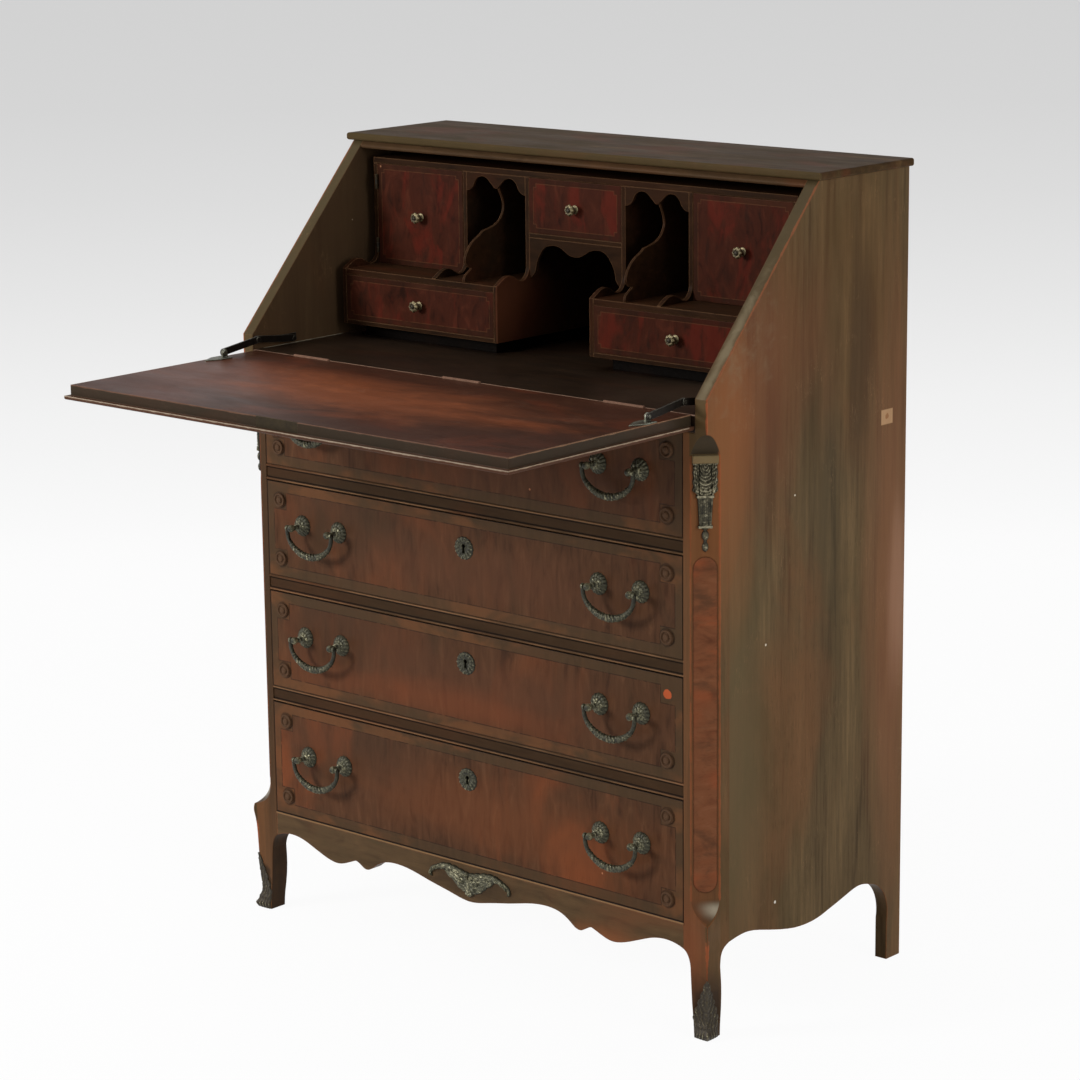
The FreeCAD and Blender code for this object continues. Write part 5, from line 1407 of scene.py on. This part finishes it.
def glued(make: Finisher) -> Flow:
    """Zero at the glued joints between a side and its corner post, and one away from them."""
    behind = abs(make.y - (FRONT_Y + 42 * MM)).between(0.6 * MM, 3.6 * MM).largest(make.z.between(0.749, 0.752))
    above = abs(make.z - 0.746).between(0.6 * MM, 3.6 * MM).largest(
        make.y.between(FRONT_Y + 44 * MM, FRONT_Y + 47 * MM))
    return behind.smallest(above)


@dataclass
class Dressing:
    """Gives every plain part of the desk its finish."""

    drawer_edges: tuple[float, float] = (12.3 * MM, 14.0 * MM)

    side: Wood = Wood("side_veneer", srgb(60, 46, 28), srgb(86, 69, 45), srgb(106, 85, 57), srgb(110, 71, 43),
                      srgb(64, 56, 34), Grain.UPRIGHT, 0.5, 0.5, streaks=200.0, streak_share=0.62, figure=30.0,
                      figure_run=0.04, figure_share=0.8, patch=4.5, pore_share=0.5, gloss=0.05)
    panel: Wood = Wood("red_panel_veneer", srgb(86, 50, 32), srgb(116, 71, 46), srgb(132, 86, 58), srgb(142, 72, 42),
                       srgb(66, 50, 36), Grain.ROUND, 0.55, 0.6, streaks=60.0, streak_share=0.25, figure=60.0,
                       figure_share=0.5, patch=18.0, worn=srgb(64, 40, 26), edge=2.6 * MM)
    top: Wood = Wood("top_board_wood", srgb(42, 30, 18), srgb(62, 46, 28), srgb(88, 68, 43), srgb(84, 47, 29),
                     srgb(60, 51, 31), Grain.ACROSS, 0.5, 0.5, streaks=80.0, streak_share=0.5, figure_share=0.5,
                     patch=16.0, roughness=0.5, gloss=0.025, worn=srgb(140, 110, 74), edge=2.0 * MM)
    rail: Wood = Wood("rail_wood", srgb(52, 38, 26), srgb(77, 57, 38), srgb(96, 72, 49), srgb(108, 64, 40),
                      srgb(52, 43, 31), Grain.ACROSS, 0.5, 0.5, streaks=120.0, streak_share=0.4, gloss=0.03,
                      worn=srgb(150, 104, 70), edge=1.6 * MM)
    apron: Wood = Wood("apron_wood", srgb(60, 45, 30), srgb(86, 66, 44), srgb(104, 80, 54), srgb(120, 70, 43),
                       srgb(62, 54, 37), Grain.ACROSS, 0.5, 0.6, streaks=90.0, streak_share=0.3,
                       worn=srgb(150, 88, 55))
    lid: Wood = Wood("lid_wood", srgb(46, 26, 18), srgb(62, 37, 26), srgb(78, 49, 35), srgb(92, 46, 29),
                     srgb(60, 35, 24), Grain.ACROSS, 0.6, 0.5, streaks=80.0, streak_share=0.3, figure=36.0,
                     figure_run=0.5, patch=12.0, roughness=0.36, gloss=0.055, worn=srgb(128, 92, 70),
                     edge=1.8 * MM)
    bed: Wood = Wood("bed_wood", srgb(20, 14, 10), srgb(34, 24, 16), srgb(48, 34, 23), srgb(50, 27, 17),
                     srgb(20, 16, 12), Grain.ACROSS, 0.4, 0.4, streaks=80.0, streak_share=0.3, roughness=0.38,
                     gloss=0.07, worn=srgb(128, 98, 76), edge=1.6 * MM)
    drawer: Wood = Wood("drawer_veneer", srgb(58, 37, 24), srgb(79, 52, 34), srgb(94, 63, 42), srgb(112, 62, 36),
                        srgb(60, 47, 31), Grain.UPRIGHT, 0.55, 0.6, streaks=110.0, streak_share=0.36, figure=70.0,
                        figure_share=0.8, pore_share=0.3, patch=7.0, roughness=0.40, gloss=0.06,
                        worn=srgb(138, 84, 54), wear=0.6, edge=1.8 * MM)
    gallery: Wood = Wood("gallery_wood", srgb(24, 15, 9), srgb(46, 29, 17), srgb(65, 42, 26), srgb(62, 30, 17),
                         srgb(32, 25, 18), Grain.ACROSS, 0.5, 0.5, streaks=110.0, streak_share=0.3,
                         gloss=0.02, worn=srgb(118, 86, 60), wear=0.85, edge=2.0 * MM)
    gallery_front: Wood = Wood("gallery_front_veneer", srgb(38, 21, 15), srgb(64, 32, 22), srgb(84, 43, 30),
                               srgb(92, 34, 24), srgb(42, 27, 20), Grain.UPRIGHT, 0.7, 0.7, streaks=80.0,
                               streak_share=0.12, figure=50.0, figure_run=0.5, figure_share=0.7, patch=30.0,
                               pore_share=0.15, roughness=0.36, gloss=0.02, worn=srgb(140, 98, 66), wear=0.9,
                               edge=1.6 * MM)
    raw: Wood = Wood("inner_wood", srgb(92, 70, 45), srgb(122, 95, 63), srgb(144, 114, 79), srgb(118, 84, 55),
                     srgb(92, 76, 54), Grain.BACK, 0.3, 0.5, streaks=90.0, roughness=0.62, gloss=0.12,
                     worn=srgb(150, 120, 84), wear=0.4)
    raw_across: Wood = Wood("inner_board_wood", srgb(84, 64, 42), srgb(112, 87, 58), srgb(134, 106, 74),
                            srgb(110, 78, 50), srgb(82, 68, 48), Grain.ACROSS, 0.3, 0.5, streaks=70.0,
                            roughness=0.64, gloss=0.12, worn=srgb(150, 120, 84), wear=0.4)
    bronze: Metal = Metal("dark_bronze", srgb(33, 32, 23), srgb(73, 71, 54), srgb(160, 154, 122), 0.5, 0.48,
                          0.56, 1.0)
    mount_bronze: Metal = Metal("rubbed_bronze", srgb(26, 24, 18), srgb(78, 73, 56), srgb(172, 164, 136), 0.55, 0.46,
                                0.48, 0.92)
    dull_bronze: Metal = Metal("dull_bronze", srgb(42, 34, 21), srgb(68, 58, 38), srgb(150, 146, 114), 0.4, 0.50,
                               0.50, 0.95, 0.8, speckle=620.0)
    brass: Metal = Metal("old_brass", srgb(34, 28, 18), srgb(72, 63, 44), srgb(150, 136, 100), 0.55, 0.44,
                         0.52, 0.95, carved=0.15, depth=0.2 * MM)
    # The pale edges of this metal are wear and also a painted highlight, standing in for the light caught by the stays'
    # edges and rivet heads.
    steel: Metal = Metal("stay_metal", srgb(16, 13, 10), srgb(34, 28, 22), srgb(150, 146, 130), 0.5, 0.42,
                         0.62, 1.00, carved=0.1, depth=0.15 * MM, plain=True, gloss=0.25)
    plate_metal: Metal = Metal("worn_plate_metal", srgb(58, 56, 46), srgb(112, 110, 94), srgb(200, 204, 190), 0.8,
                               0.34, 0.40, 0.80, carved=0.2, depth=0.15 * MM, plain=True)
    pale_hinge_metal: Metal = Metal("pale_hinge_metal", srgb(98, 72, 58), srgb(134, 102, 84), srgb(170, 132, 110),
                                    0.1, 0.6, 0.75, 1.10, carved=0.1, depth=0.1 * MM, plain=True, gloss=0.05)
    hinge_metal: Metal = Metal("dark_hinge_metal", srgb(34, 27, 19), srgb(62, 53, 38), srgb(96, 84, 62), 0.2, 0.55,
                               0.75, 1.10, carved=0.1, depth=0.1 * MM, plain=True, gloss=0.08)

    def coat_node(self, material: bpy.types.Material, *nodes: str) -> None:
        """Puts a material on nodes of the desk."""
        for node in nodes:
            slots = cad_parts[node].data.materials
            slots.clear()
            slots.append(material)

    def drawer_front(self, number: int) -> bpy.types.Material:
        """The front of a long drawer: figured field, string line, banded border, dark roundels, old marks, a painted
        shadow behind the keyhole and painted shade along its edges.
        """
        low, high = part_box(f"drawer_{number}_front")
        bottom, top = low.z - 0.4 * MM, high.z + 0.9 * MM
        middle, half = (bottom + top) / 2, (top - bottom) / 2
        field = srgb(118, 68, 40) if number == 4 else srgb(92, 58, 40)
        overlays: list[Overlay] = [
            Glow((0.05, FRONT_Y, middle - 0.01), (0.40, 0.2, half), field, 0.45, (0.4, 1, 1.0)),
            Glow((-0.20, FRONT_Y, middle + 0.03), (0.20, 0.2, half), srgb(72, 50, 36), 0.45, (1, 1, 0.5)),
            InlaidFrame(0.0, middle, 344 * MM - self.drawer_edges[0], half - self.drawer_edges[1], 22 * MM,
                        srgb(72, 56, 38), srgb(104, 69, 43), srgb(46, 31, 21), line_share=0.75),
            # Painted shadow: a dark spot on the front behind the keyhole, seen through the keyhole plate's opening.
            Spot((0.0, FRONT_Y, top - 40 * MM), 10 * MM, srgb(16, 11, 8), 1.0, 0.0)]
        for x_sign in (-1, 1):
            for place in (bottom + 24 * MM, top - 24 * MM):
                if number == 3 and x_sign == 1 and place > middle:
                    overlays.append(Spot((320 * MM, FRONT_Y, place), 6.6 * MM, srgb(176, 84, 48), 1.0, 0.35))
                else:
                    overlays += [
                        Spot((x_sign * 320 * MM, FRONT_Y, place), 12.4 * MM, srgb(44, 31, 22), 0.6, 0.3),
                        Spot((x_sign * 320 * MM, FRONT_Y - 2 * MM, place), 10.5 * MM, srgb(88, 64, 46), 0.8, 0.05,
                             flat=True)]
        if number == 3:
            overlays.insert(2, Glow((-0.02, FRONT_Y, bottom + 0.03), (0.26, 0.2, 0.035), srgb(124, 66, 38), 0.4,
                                    (0.4, 1, 1)))
        # Painted shade: dark bands along the top, bottom and ends of the front, where the gaps round the drawer fall in
        # shade.
        gap = srgb(22, 15, 10)
        overlays += [Zone(gap, 0.85, z=(0.0, bottom + 0.9 * MM)), Zone(gap, 0.85, z=(top - 1.4 * MM, 2.0)),
                     Zone(gap, 0.85, x=(342.6 * MM, 2.0)), Nicks(18.0, 0.03, srgb(170, 112, 78))]
        wood = replace(self.drawer, accent=srgb(128, 68, 38), accent_share=0.75) if number == 4 else self.drawer
        return wood.material(f"_{number}", overlays)

    def gallery_face(self, node: str, name: str) -> bpy.types.Material:
        """The front of a small drawer or door: dark red field with a faint string line and a banded border."""
        low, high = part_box(node)
        half_x, half_z = (high.x - low.x) / 2, (high.z - low.z) / 2
        inlay = InlaidFrame((low.x + high.x) / 2, (low.z + high.z) / 2, half_x - 7 * MM, half_z - 7 * MM, 4.5 * MM,
                            srgb(46, 28, 19), srgb(64, 38, 25), srgb(96, 62, 40), 0.6 * MM, 0.7, 0.6, 0.2)
        return self.gallery_front.material("_" + name, [inlay, Nicks(30.0, 0.05, srgb(150, 104, 74))])

    def carcase(self) -> None:
        """Dresses the sides, the corner posts and their panels, the top board, the rails and the apron."""
        red = srgb(152, 82, 50)
        slope = Arris((0.379, FRONT_Y, 0.771), (0.379, FRONT_Y + 0.210, 1.0005), 2.3 * MM, srgb(142, 86, 58), 0.7)
        front = Arris((0.379, FRONT_Y, 0.746), (0.379, FRONT_Y, 0.771), 2.6 * MM, red)
        side_marks_and_painted_light: list[Overlay] = [
            Glow((0.379, FRONT_Y + 0.26, 0.86), (0.06, 0.22, 0.24), srgb(94, 62, 30), 0.35, (1, 1, 0.15), 2.0),
            Glow((0.379, FRONT_Y + 0.296, 0.77), (0.06, 0.032, 0.22), srgb(54, 38, 22), 0.62, (1, 1, 0.05), 1.8, 30.0),
            Glow((0.379, FRONT_Y + 0.200, 0.72), (0.06, 0.026, 0.14), srgb(54, 46, 24), 0.6, (1, 1, 0.05), 1.8, 30.0),
            Glow((0.379, FRONT_Y + 0.126, 0.70), (0.06, 0.024, 0.14), srgb(58, 42, 22), 0.65, (1, 1, 0.05), 1.8, 30.0),
            Glow((0.379, FRONT_Y + 0.23, 0.60), (0.06, 0.05, 0.42), srgb(62, 54, 36), 0.45, (1, 1, 0.08)),
            # Painted reflection: a pale glare towards the back of the right side.
            Glow((0.379, FRONT_Y + 0.375, 0.47), (0.06, 0.026, 0.15), srgb(172, 138, 116), 0.62, (1, 1, 0.2)),
            Glow((0.379, FRONT_Y + 0.06, 0.35), (0.06, 0.07, 0.4), srgb(92, 79, 54), 0.7, (1, 1, 0.1)),
            Glow((0.379, FRONT_Y + 0.10, 0.80), (0.06, 0.16, 0.2), srgb(112, 66, 44), 0.5, (1, 1, 0.2)),
            Zone(srgb(194, 160, 120), 0.95, x=(0.3786, 0.38), y=(FRONT_Y + 0.339, FRONT_Y + 0.361), z=(0.691, 0.708),
                 soft=1.3 * MM),
            Spot((0.379, FRONT_Y + 0.350, 0.700), 3.6 * MM, srgb(140, 96, 62), 0.8, 0.7),
            Spot((0.379, FRONT_Y + 0.131, 0.138), 2.0 * MM, srgb(216, 210, 198), 1.0, 0.4),
            Spot((0.379, FRONT_Y + 0.111, 0.462), 1.6 * MM, srgb(206, 196, 178), 1.0, 0.4),
            Spot((0.379, FRONT_Y + 0.166, 0.633), 1.3 * MM, srgb(206, 196, 178), 1.0, 0.4),
            Glow((0.379, FRONT_Y + 0.03, 0.72), (0.06, 0.08, 0.26), srgb(130, 81, 47), 0.75, (1, 1, 0.3)),
            Glow((0.379, FRONT_Y + 0.36, 0.45), (0.06, 0.07, 0.55), srgb(122, 80, 54), 0.6, (1, 1, 0.15)),
            Zone(srgb(74, 56, 40), 0.8, x=(0.0, 0.3622)),
            Zone(srgb(74, 63, 43), 0.85, x=(0.3625, 0.3785), y=(-1.0, FRONT_Y + 0.213), z=(0.7712, 1.01)),
            # Painted highlight on the lower part of the right side's sloped front edge.
            Glow((0.371, FRONT_Y + 0.04, 0.82), (0.010, 0.15, 0.15), srgb(124, 112, 88), 0.75, broken=1.4, scale=40.0),
            Zone(srgb(84, 68, 43), 0.85, x=(0.3625, 0.3785), z=(0.70, 0.7708)),
            Nicks(14.0, 0.02), Scratches((1, 1, 0.12), colour=srgb(140, 108, 76), share=0.3), slope, front]
        self.coat_node(self.side.material("", side_marks_and_painted_light, glued), "right_side", "left_side")
        post_marks_and_painted_light: list[Overlay] = [
            Faces(0.379, srgb(94, 64, 42), srgb(112, 75, 48)),
            Glow((0.379, FRONT_Y + 0.03, 0.72), (0.06, 0.08, 0.26), srgb(130, 81, 47), 0.75, (1, 1, 0.3)),
            Zone(srgb(84, 68, 43), 0.85, x=(0.3535, 0.3785), z=(0.704, 0.7470)),
            # Painted shade in the cove at the top of each cant.
            CantBand(0.7058, 0.735, srgb(60, 52, 41), 0.85),
            # Painted shade round the scoop at the foot of each cant, then a painted reflection inside the scoop.
            CantBand(0.1500, 0.1600, srgb(58, 50, 36), 0.7, soft=14 * MM),
            CantBand(0.1560, 0.1580, srgb(168, 157, 136), 0.75, soft=12 * MM, rise=(FRONT_Y, FRONT_Y + 0.019)),
            CantBand(0.6958, 0.7055, srgb(120, 104, 74), 0.9, True),
            CantBand(0.0, 0.130, srgb(44, 34, 24), 0.75),
            # Painted shade over the left corner post, standing in for the shade on its inner face.
            Glow((-0.350, FRONT_Y, 0.45), (0.032, 0.04, 0.6), srgb(58, 44, 31), 0.8, broken=0.5),
            Arris((0.379, FRONT_Y + 0.0243, 0.17), (0.379, FRONT_Y + 0.0243, 0.70), 1.8 * MM, red, 0.6, 3.2),
            Arris((0.3547, FRONT_Y, 0.17), (0.3547, FRONT_Y, 0.70), 1.4 * MM, red, 0.45, 3.2),
            Arris((0.379, FRONT_Y, 0.7235), (0.379, FRONT_Y, 0.746), 2.4 * MM, red),
            Arris((0.379, FRONT_Y + 0.001, 0.7235), (0.379, FRONT_Y + 0.015, 0.7185), 1.8 * MM, red, 0.8),
            Arris((0.379, FRONT_Y + 0.015, 0.7185), (0.379, FRONT_Y + 0.0243, 0.7030), 1.8 * MM, red, 0.8),
            Arris((0.381, FRONT_Y - 0.002, 0.075), (0.379, FRONT_Y, 0.14), 2.8 * MM, red),
            Glow((0.352, FRONT_Y, 0.11), (0.04, 0.03, 0.09), srgb(124, 70, 43), 0.6, broken=0.9),
            Glow((0.379, FRONT_Y, 0.02), (0.05, 0.05, 0.09), srgb(44, 34, 24), 0.8)]
        self.coat_node(self.side.material("_post", post_marks_and_painted_light, glued), "corner_posts")
        self.coat_node(self.panel.material(), "cant_panels")
        self.coat_node(self.top.material("", [
            Zone(srgb(84, 71, 46), 0.55, y=(-1.0, FRONT_Y + 0.206)), Nicks(20.0, 0.03)]), "top_board")
        self.coat_node(self.rail.material("_top"), "top_rail")
        # Painted shade in the rails' grooves and on their sunk flats, and a painted highlight with wear on the beads'
        # crests.
        beads = Beading((0.30066, 0.44989, 0.59562), 10.35 * MM)
        self.coat_node(self.rail.material("", [beads]), "drawer_rails")
        self.coat_node(self.apron.material("", [
            Glow((0.0, FRONT_Y, 0.115), (0.09, 0.05, 0.03), srgb(44, 34, 24), 0.7),
            Glow((0.24, FRONT_Y, 0.085), (0.12, 0.05, 0.035), srgb(146, 84, 50), 0.55),
            # Painted shade: a dark line in the gap under the lowest drawer, and below it a pale line on the bead's
            # crest that is painted highlight and wear.
            Zone(srgb(20, 14, 10), 0.9, z=(0.1394, 0.142), soft=0.3 * MM),
            Zone(srgb(150, 114, 76), 0.7, z=(0.1374, 0.1388))]), "front_apron")

    def desk_top(self) -> None:
        """Dresses the lid with its faded and worn zones and a painted sheen on its left part, and the darker bed behind
        it, with a painted reflection on its right part and pale lines on its outer edges that are painted highlight and
        wear.
        """
        lid_marks_and_painted_sheen: list[Overlay] = [
            Glow((-0.06, FRONT_Y - 0.155, 0.752), (0.42, 0.12, 0.05), srgb(146, 82, 50), 0.9, (0.4, 1, 1), 1.6, 12.0),
            Glow((-0.02, FRONT_Y - 0.16, 0.752), (0.40, 0.16, 0.05), srgb(68, 39, 27), 0.35, (0.7, 1, 1), 2.6, 30.0),
            # Painted sheen: a lighter patch on the left part of the lid.
            Glow((-0.27, FRONT_Y - 0.20, 0.752), (0.18, 0.20, 0.05), srgb(80, 46, 35), 0.72, (0.3, 1, 1), 0.9),
            Glow((0.34, FRONT_Y - 0.20, 0.752), (0.10, 0.10, 0.05), srgb(58, 37, 28), 0.5),
            Scratches((0.14, 1, 1), 12.0, 240.0, srgb(140, 104, 84), 0.35),
            Scratches((1, 0.16, 1), 24.0, 200.0, srgb(130, 98, 80), 0.25),
            Nicks(22.0, 0.03, srgb(168, 122, 92)),
            Zone(srgb(52, 44, 33), 0.85, z=(0.7392, 0.7512), soft=0.5 * MM),
            Zone(srgb(78, 52, 38), 0.8, z=(0.70, 0.7387)),
            Arris((0.0, FRONT_Y - 0.3107, 0.752), (0.356, FRONT_Y - 0.3107, 0.752), 1.6 * MM, srgb(126, 92, 74), 0.5,
                  1.6),
            Arris((0.3558, FRONT_Y, 0.752), (0.3558, FRONT_Y - 0.31, 0.752), 1.6 * MM, srgb(146, 112, 86), 0.7, 1.6),
            Arris((0.3608, FRONT_Y - 0.01, 0.7388), (0.3608, FRONT_Y - 0.317, 0.7388), 1.5 * MM, srgb(178, 158, 134),
                  0.72, 1.8),
            Arris((0.0, FRONT_Y - 0.3171, 0.7388), (0.36, FRONT_Y - 0.3171, 0.7388), 1.5 * MM, srgb(178, 160, 138),
                  0.72, 1.8)]
        self.coat_node(self.lid.material("", lid_marks_and_painted_sheen), "lid_board")
        bed_marks_and_painted_light: list[Overlay] = [
            Arris((0.0, FRONT_Y + 0.001, 0.752), (0.36, FRONT_Y + 0.001, 0.752), 1.8 * MM, srgb(156, 124, 104), 0.9),
            # Painted reflection: a lighter, greyer patch on the right part of the bed.
            Glow((0.28, FRONT_Y + 0.10, 0.752), (0.14, 0.12, 0.05), srgb(62, 49, 38), 0.6),
            # Pale lines along both outer edges of the bed: painted highlight and wear.
            Arris((0.3610, FRONT_Y + 0.02, 0.752), (0.3610, FRONT_Y + 0.16, 0.752), 3.2 * MM, srgb(158, 150, 130))]
        self.coat_node(self.bed.material("", bed_marks_and_painted_light), "writing_bed")

    def build(self) -> tuple[bpy.types.Material, ...]:
        """Dresses the nodes and gives back the castings' metals: dark, rubbed and dull bronze, brass and iron."""
        self.carcase()
        self.desk_top()
        raw = self.raw.material()
        for number in (1, 2, 3, 4):
            self.coat_node(self.drawer_front(number), f"drawer_{number}_front")
            self.coat_node(raw, f"drawer_{number}_box")
        self.coat_node(raw, "drawer_runners")
        self.coat_node(self.raw_across.material(), "bottom_board", "back_panel")
        self.coat_node(self.gallery.material("", [
            # Painted shadow: near black on everything below the lower cases of the gallery.
            Zone(srgb(12, 8, 6), 1.0, z=(0.70, 0.7688)),
            # Painted light: a lighter tone on the side of the left lower case that faces the centre, which lies in
            # shade.
            Glow((-0.076, FRONT_Y + 0.155, 0.805), (0.004, 0.13, 0.10), srgb(88, 50, 33), 0.85, broken=0.5)]),
                       "gallery_shelves", "gallery_partitions", "gallery_dividers", "gallery_valances",
                       "gallery_back")
        for name in ("drawer_lower_left", "drawer_lower_right", "drawer_centre", "door_left", "door_right"):
            self.coat_node(self.gallery_face("gallery_" + name, name), "gallery_" + name)
        steel = self.steel.material()
        self.coat_node(self.pale_hinge_metal.material(), "case_hinge_leaves", "lid_hinge_leaves")
        self.coat_node(self.hinge_metal.material(), "gallery_door_hinge_leaves", "lid_lock")
        self.coat_node(self.plate_metal.material(), "lid_stay_plates")
        self.coat_node(steel, "wall_stay_plates", "stay_front_link_left", "stay_front_link_right",
                       "stay_rear_link_left", "stay_rear_link_right")
        log.info("dressed %d nodes", len(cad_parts))
        return (self.bronze.material(), self.mount_bronze.material(), self.dull_bronze.material(),
                self.brass.material(), steel)


# Room, lights and camera


@dataclass
class Room:
    """The pale sweep that the desk stands on, its soft lamps and the camera."""

    camera_place: tuple[float, float, float] = (2.711, -2.95593, 1.472)
    yaw: float = -41.55
    pitch: float = -12.99
    roll: float = -0.68
    lens: float = 3348 / 1080 * 36
    floor_glow: float = 0.95
    world_light: float = 0.27
    shade_angles: tuple[float, ...] = (3.9, 5.6, 7.2, 8.9, 10.6, 12.3, 13.2)
    shade_values: tuple[float, ...] = (0.0, 0.07, 0.23, 0.46, 0.72, 0.90, 1.0)

    def sweep(self) -> None:
        """Makes the floor and backdrop in one sheet, white below and fading to pale grey far up.

        The profile is a flat run, a quarter round and an upright run, carried sideways. The shade of a point is a
        smooth step of how far it lies below the camera's level, as an angle seen from the camera.
        """
        away = np.array([math.sin(math.radians(self.yaw)), math.cos(math.radians(self.yaw)), 0])
        aside = np.array([away[1], -away[0], 0])
        turn = np.linspace(0, np.pi / 2, 40)
        radius, run = 1.5, 2.6
        along = np.concatenate([[-9.0], np.linspace(0, run, 12)[:-1], run + radius * np.sin(turn),
                                np.full(30, run + radius)])
        rise = np.concatenate([np.zeros(12), radius - radius * np.cos(turn), np.linspace(radius, 9.0, 31)[1:]])
        x, y, level = self.camera_place
        below = np.degrees(np.arctan2(level - rise, along - (x * away[0] + y * away[1])))
        shade = np.interp(below, self.shade_angles, self.shade_values)
        width = np.linspace(-12, 12, 3)
        points = (along[:, None, None] * away + rise[:, None, None] * np.array([0, 0, 1.0])
                  + width[None, :, None] * aside)
        points[..., 2] -= 0.0004
        form = Form().grid(points)
        mesh = bpy.data.meshes.new("sweep")
        mesh.from_pydata(np.concatenate(form.points).tolist(), [], np.concatenate(form.quads).tolist())
        mesh.shade_smooth()
        layer = mesh.attributes.new("shade", "FLOAT", "POINT")
        layer.data.foreach_set("value", np.repeat(shade, 3).astype(np.float32))
        floor = bpy.data.objects.new("sweep", mesh)
        bpy.context.scene.collection.objects.link(floor)
        make = Finisher("pale_sweep")
        grey = make.node("ShaderNodeAttribute", {"attribute_name": "shade"}, {}, output="Fac")
        tone = make.mix(grey, srgb(211, 211, 211), (1.0, 1.0, 1.0))
        paint = make.node("ShaderNodeBsdfDiffuse", {}, {"Color": (0.86, 0.86, 0.86, 1.0)})
        glow = make.node("ShaderNodeEmission", {}, {"Color": tone, "Strength": 1.0})
        mixed = make.node("ShaderNodeMixShader", {}, {0: make.seen() * self.floor_glow, 1: paint, 2: glow})
        behind = make.node("ShaderNodeNewGeometry", {}, {}, output="Backfacing")
        clear = make.node("ShaderNodeBsdfTransparent", {}, {})
        paper = make.node("ShaderNodeMixShader", {}, {0: behind, 1: mixed, 2: clear})
        make.node_raw("ShaderNodeOutputMaterial", {}, {0: paper})
        mesh.materials.append(make.material)

    def lamp(self, name: str, place: tuple[float, float, float], aim: tuple[float, float, float], size: float,
             power: float, glints: bool = True) -> None:
        """Hangs one soft square lamp.

        Args:
            name: Name of the lamp.
            place: Where it hangs.
            aim: The point that it faces.
            size: Its side.
            power: Its power in watts.
            glints: Whether glossy surfaces mirror it.
        """
        data = bpy.data.lights.new(name, "AREA")
        data.shape = "SQUARE"
        data.size = size
        data.energy = power
        lamp = bpy.data.objects.new(name, data)
        lamp.location = place
        lamp.visible_glossy = glints
        lamp.rotation_euler = (Vector(aim) - Vector(place)).to_track_quat("-Z", "Y").to_euler()
        bpy.context.scene.collection.objects.link(lamp)

    def camera(self) -> None:
        """Places the camera at the photograph's angle, from its yaw, pitch and roll."""
        yaw, pitch, roll = (math.radians(angle) for angle in (self.yaw, self.pitch, self.roll))
        ahead = Vector((math.sin(yaw) * math.cos(pitch), math.cos(yaw) * math.cos(pitch), math.sin(pitch)))
        level = Vector((math.cos(yaw), -math.sin(yaw), 0))
        upright = level.cross(ahead)
        right = level * math.cos(roll) + upright * math.sin(roll)
        up = upright * math.cos(roll) - level * math.sin(roll)
        data = bpy.data.cameras.new("camera")
        data.sensor_width = 36
        data.lens = self.lens
        data.clip_end = 60
        camera = bpy.data.objects.new("camera", data)
        x, y, z = self.camera_place
        camera.matrix_world = Matrix(((right.x, up.x, -ahead.x, x), (right.y, up.y, -ahead.y, y),
                                      (right.z, up.z, -ahead.z, z), (0, 0, 0, 1)))
        bpy.context.scene.collection.objects.link(camera)
        bpy.context.scene.camera = camera

    def build(self) -> None:
        """Makes the sweep, the lamps, the world and the camera."""
        self.camera()
        self.sweep()
        self.lamp("overhead", (-0.4, -0.6, 3.0), (0, 0, 0.5), 2.2, 18)
        self.lamp("front_left", (-1.85, -2.8, 1.75), (0, 0, 0.5), 0.9, 80)
        self.lamp("right", (3.4, -0.2, 1.5), (0.3, 0.1, 0.5), 1.6, 44, False)
        self.lamp("low_right", (1.5, 1.75, 0.3), (0.379, 0.32, 0.5), 0.5, 7, False)
        world = bpy.data.worlds.new("pale_world")
        bpy.context.scene.world = world
        make = Finisher("pale_world", world)
        level = self.world_light + make.seen() * (1 - self.world_light)
        back = make.node("ShaderNodeBackground", {}, {"Color": (0.95, 0.95, 0.95, 1.0), "Strength": level})
        make.node_raw("ShaderNodeOutputWorld", {}, {0: back})
        bpy.context.scene.view_settings.view_transform = "Standard"


def main() -> None:
    """Builds the room, dresses the desk and makes its castings."""
    logging.basicConfig(level=logging.INFO, format="%(name)s: %(message)s")
    Room().build()
    bronze, rubbed, dull, brass, steel = Dressing().build()
    for number in (1, 2, 3, 4):
        Handles(number, bronze, steel).build()
    CornerMounts(rubbed).build()
    ApronMount(bronze).build()
    Sabots(dull).build()
    Knobs(brass).build()


if __name__ == "__main__":
    main()
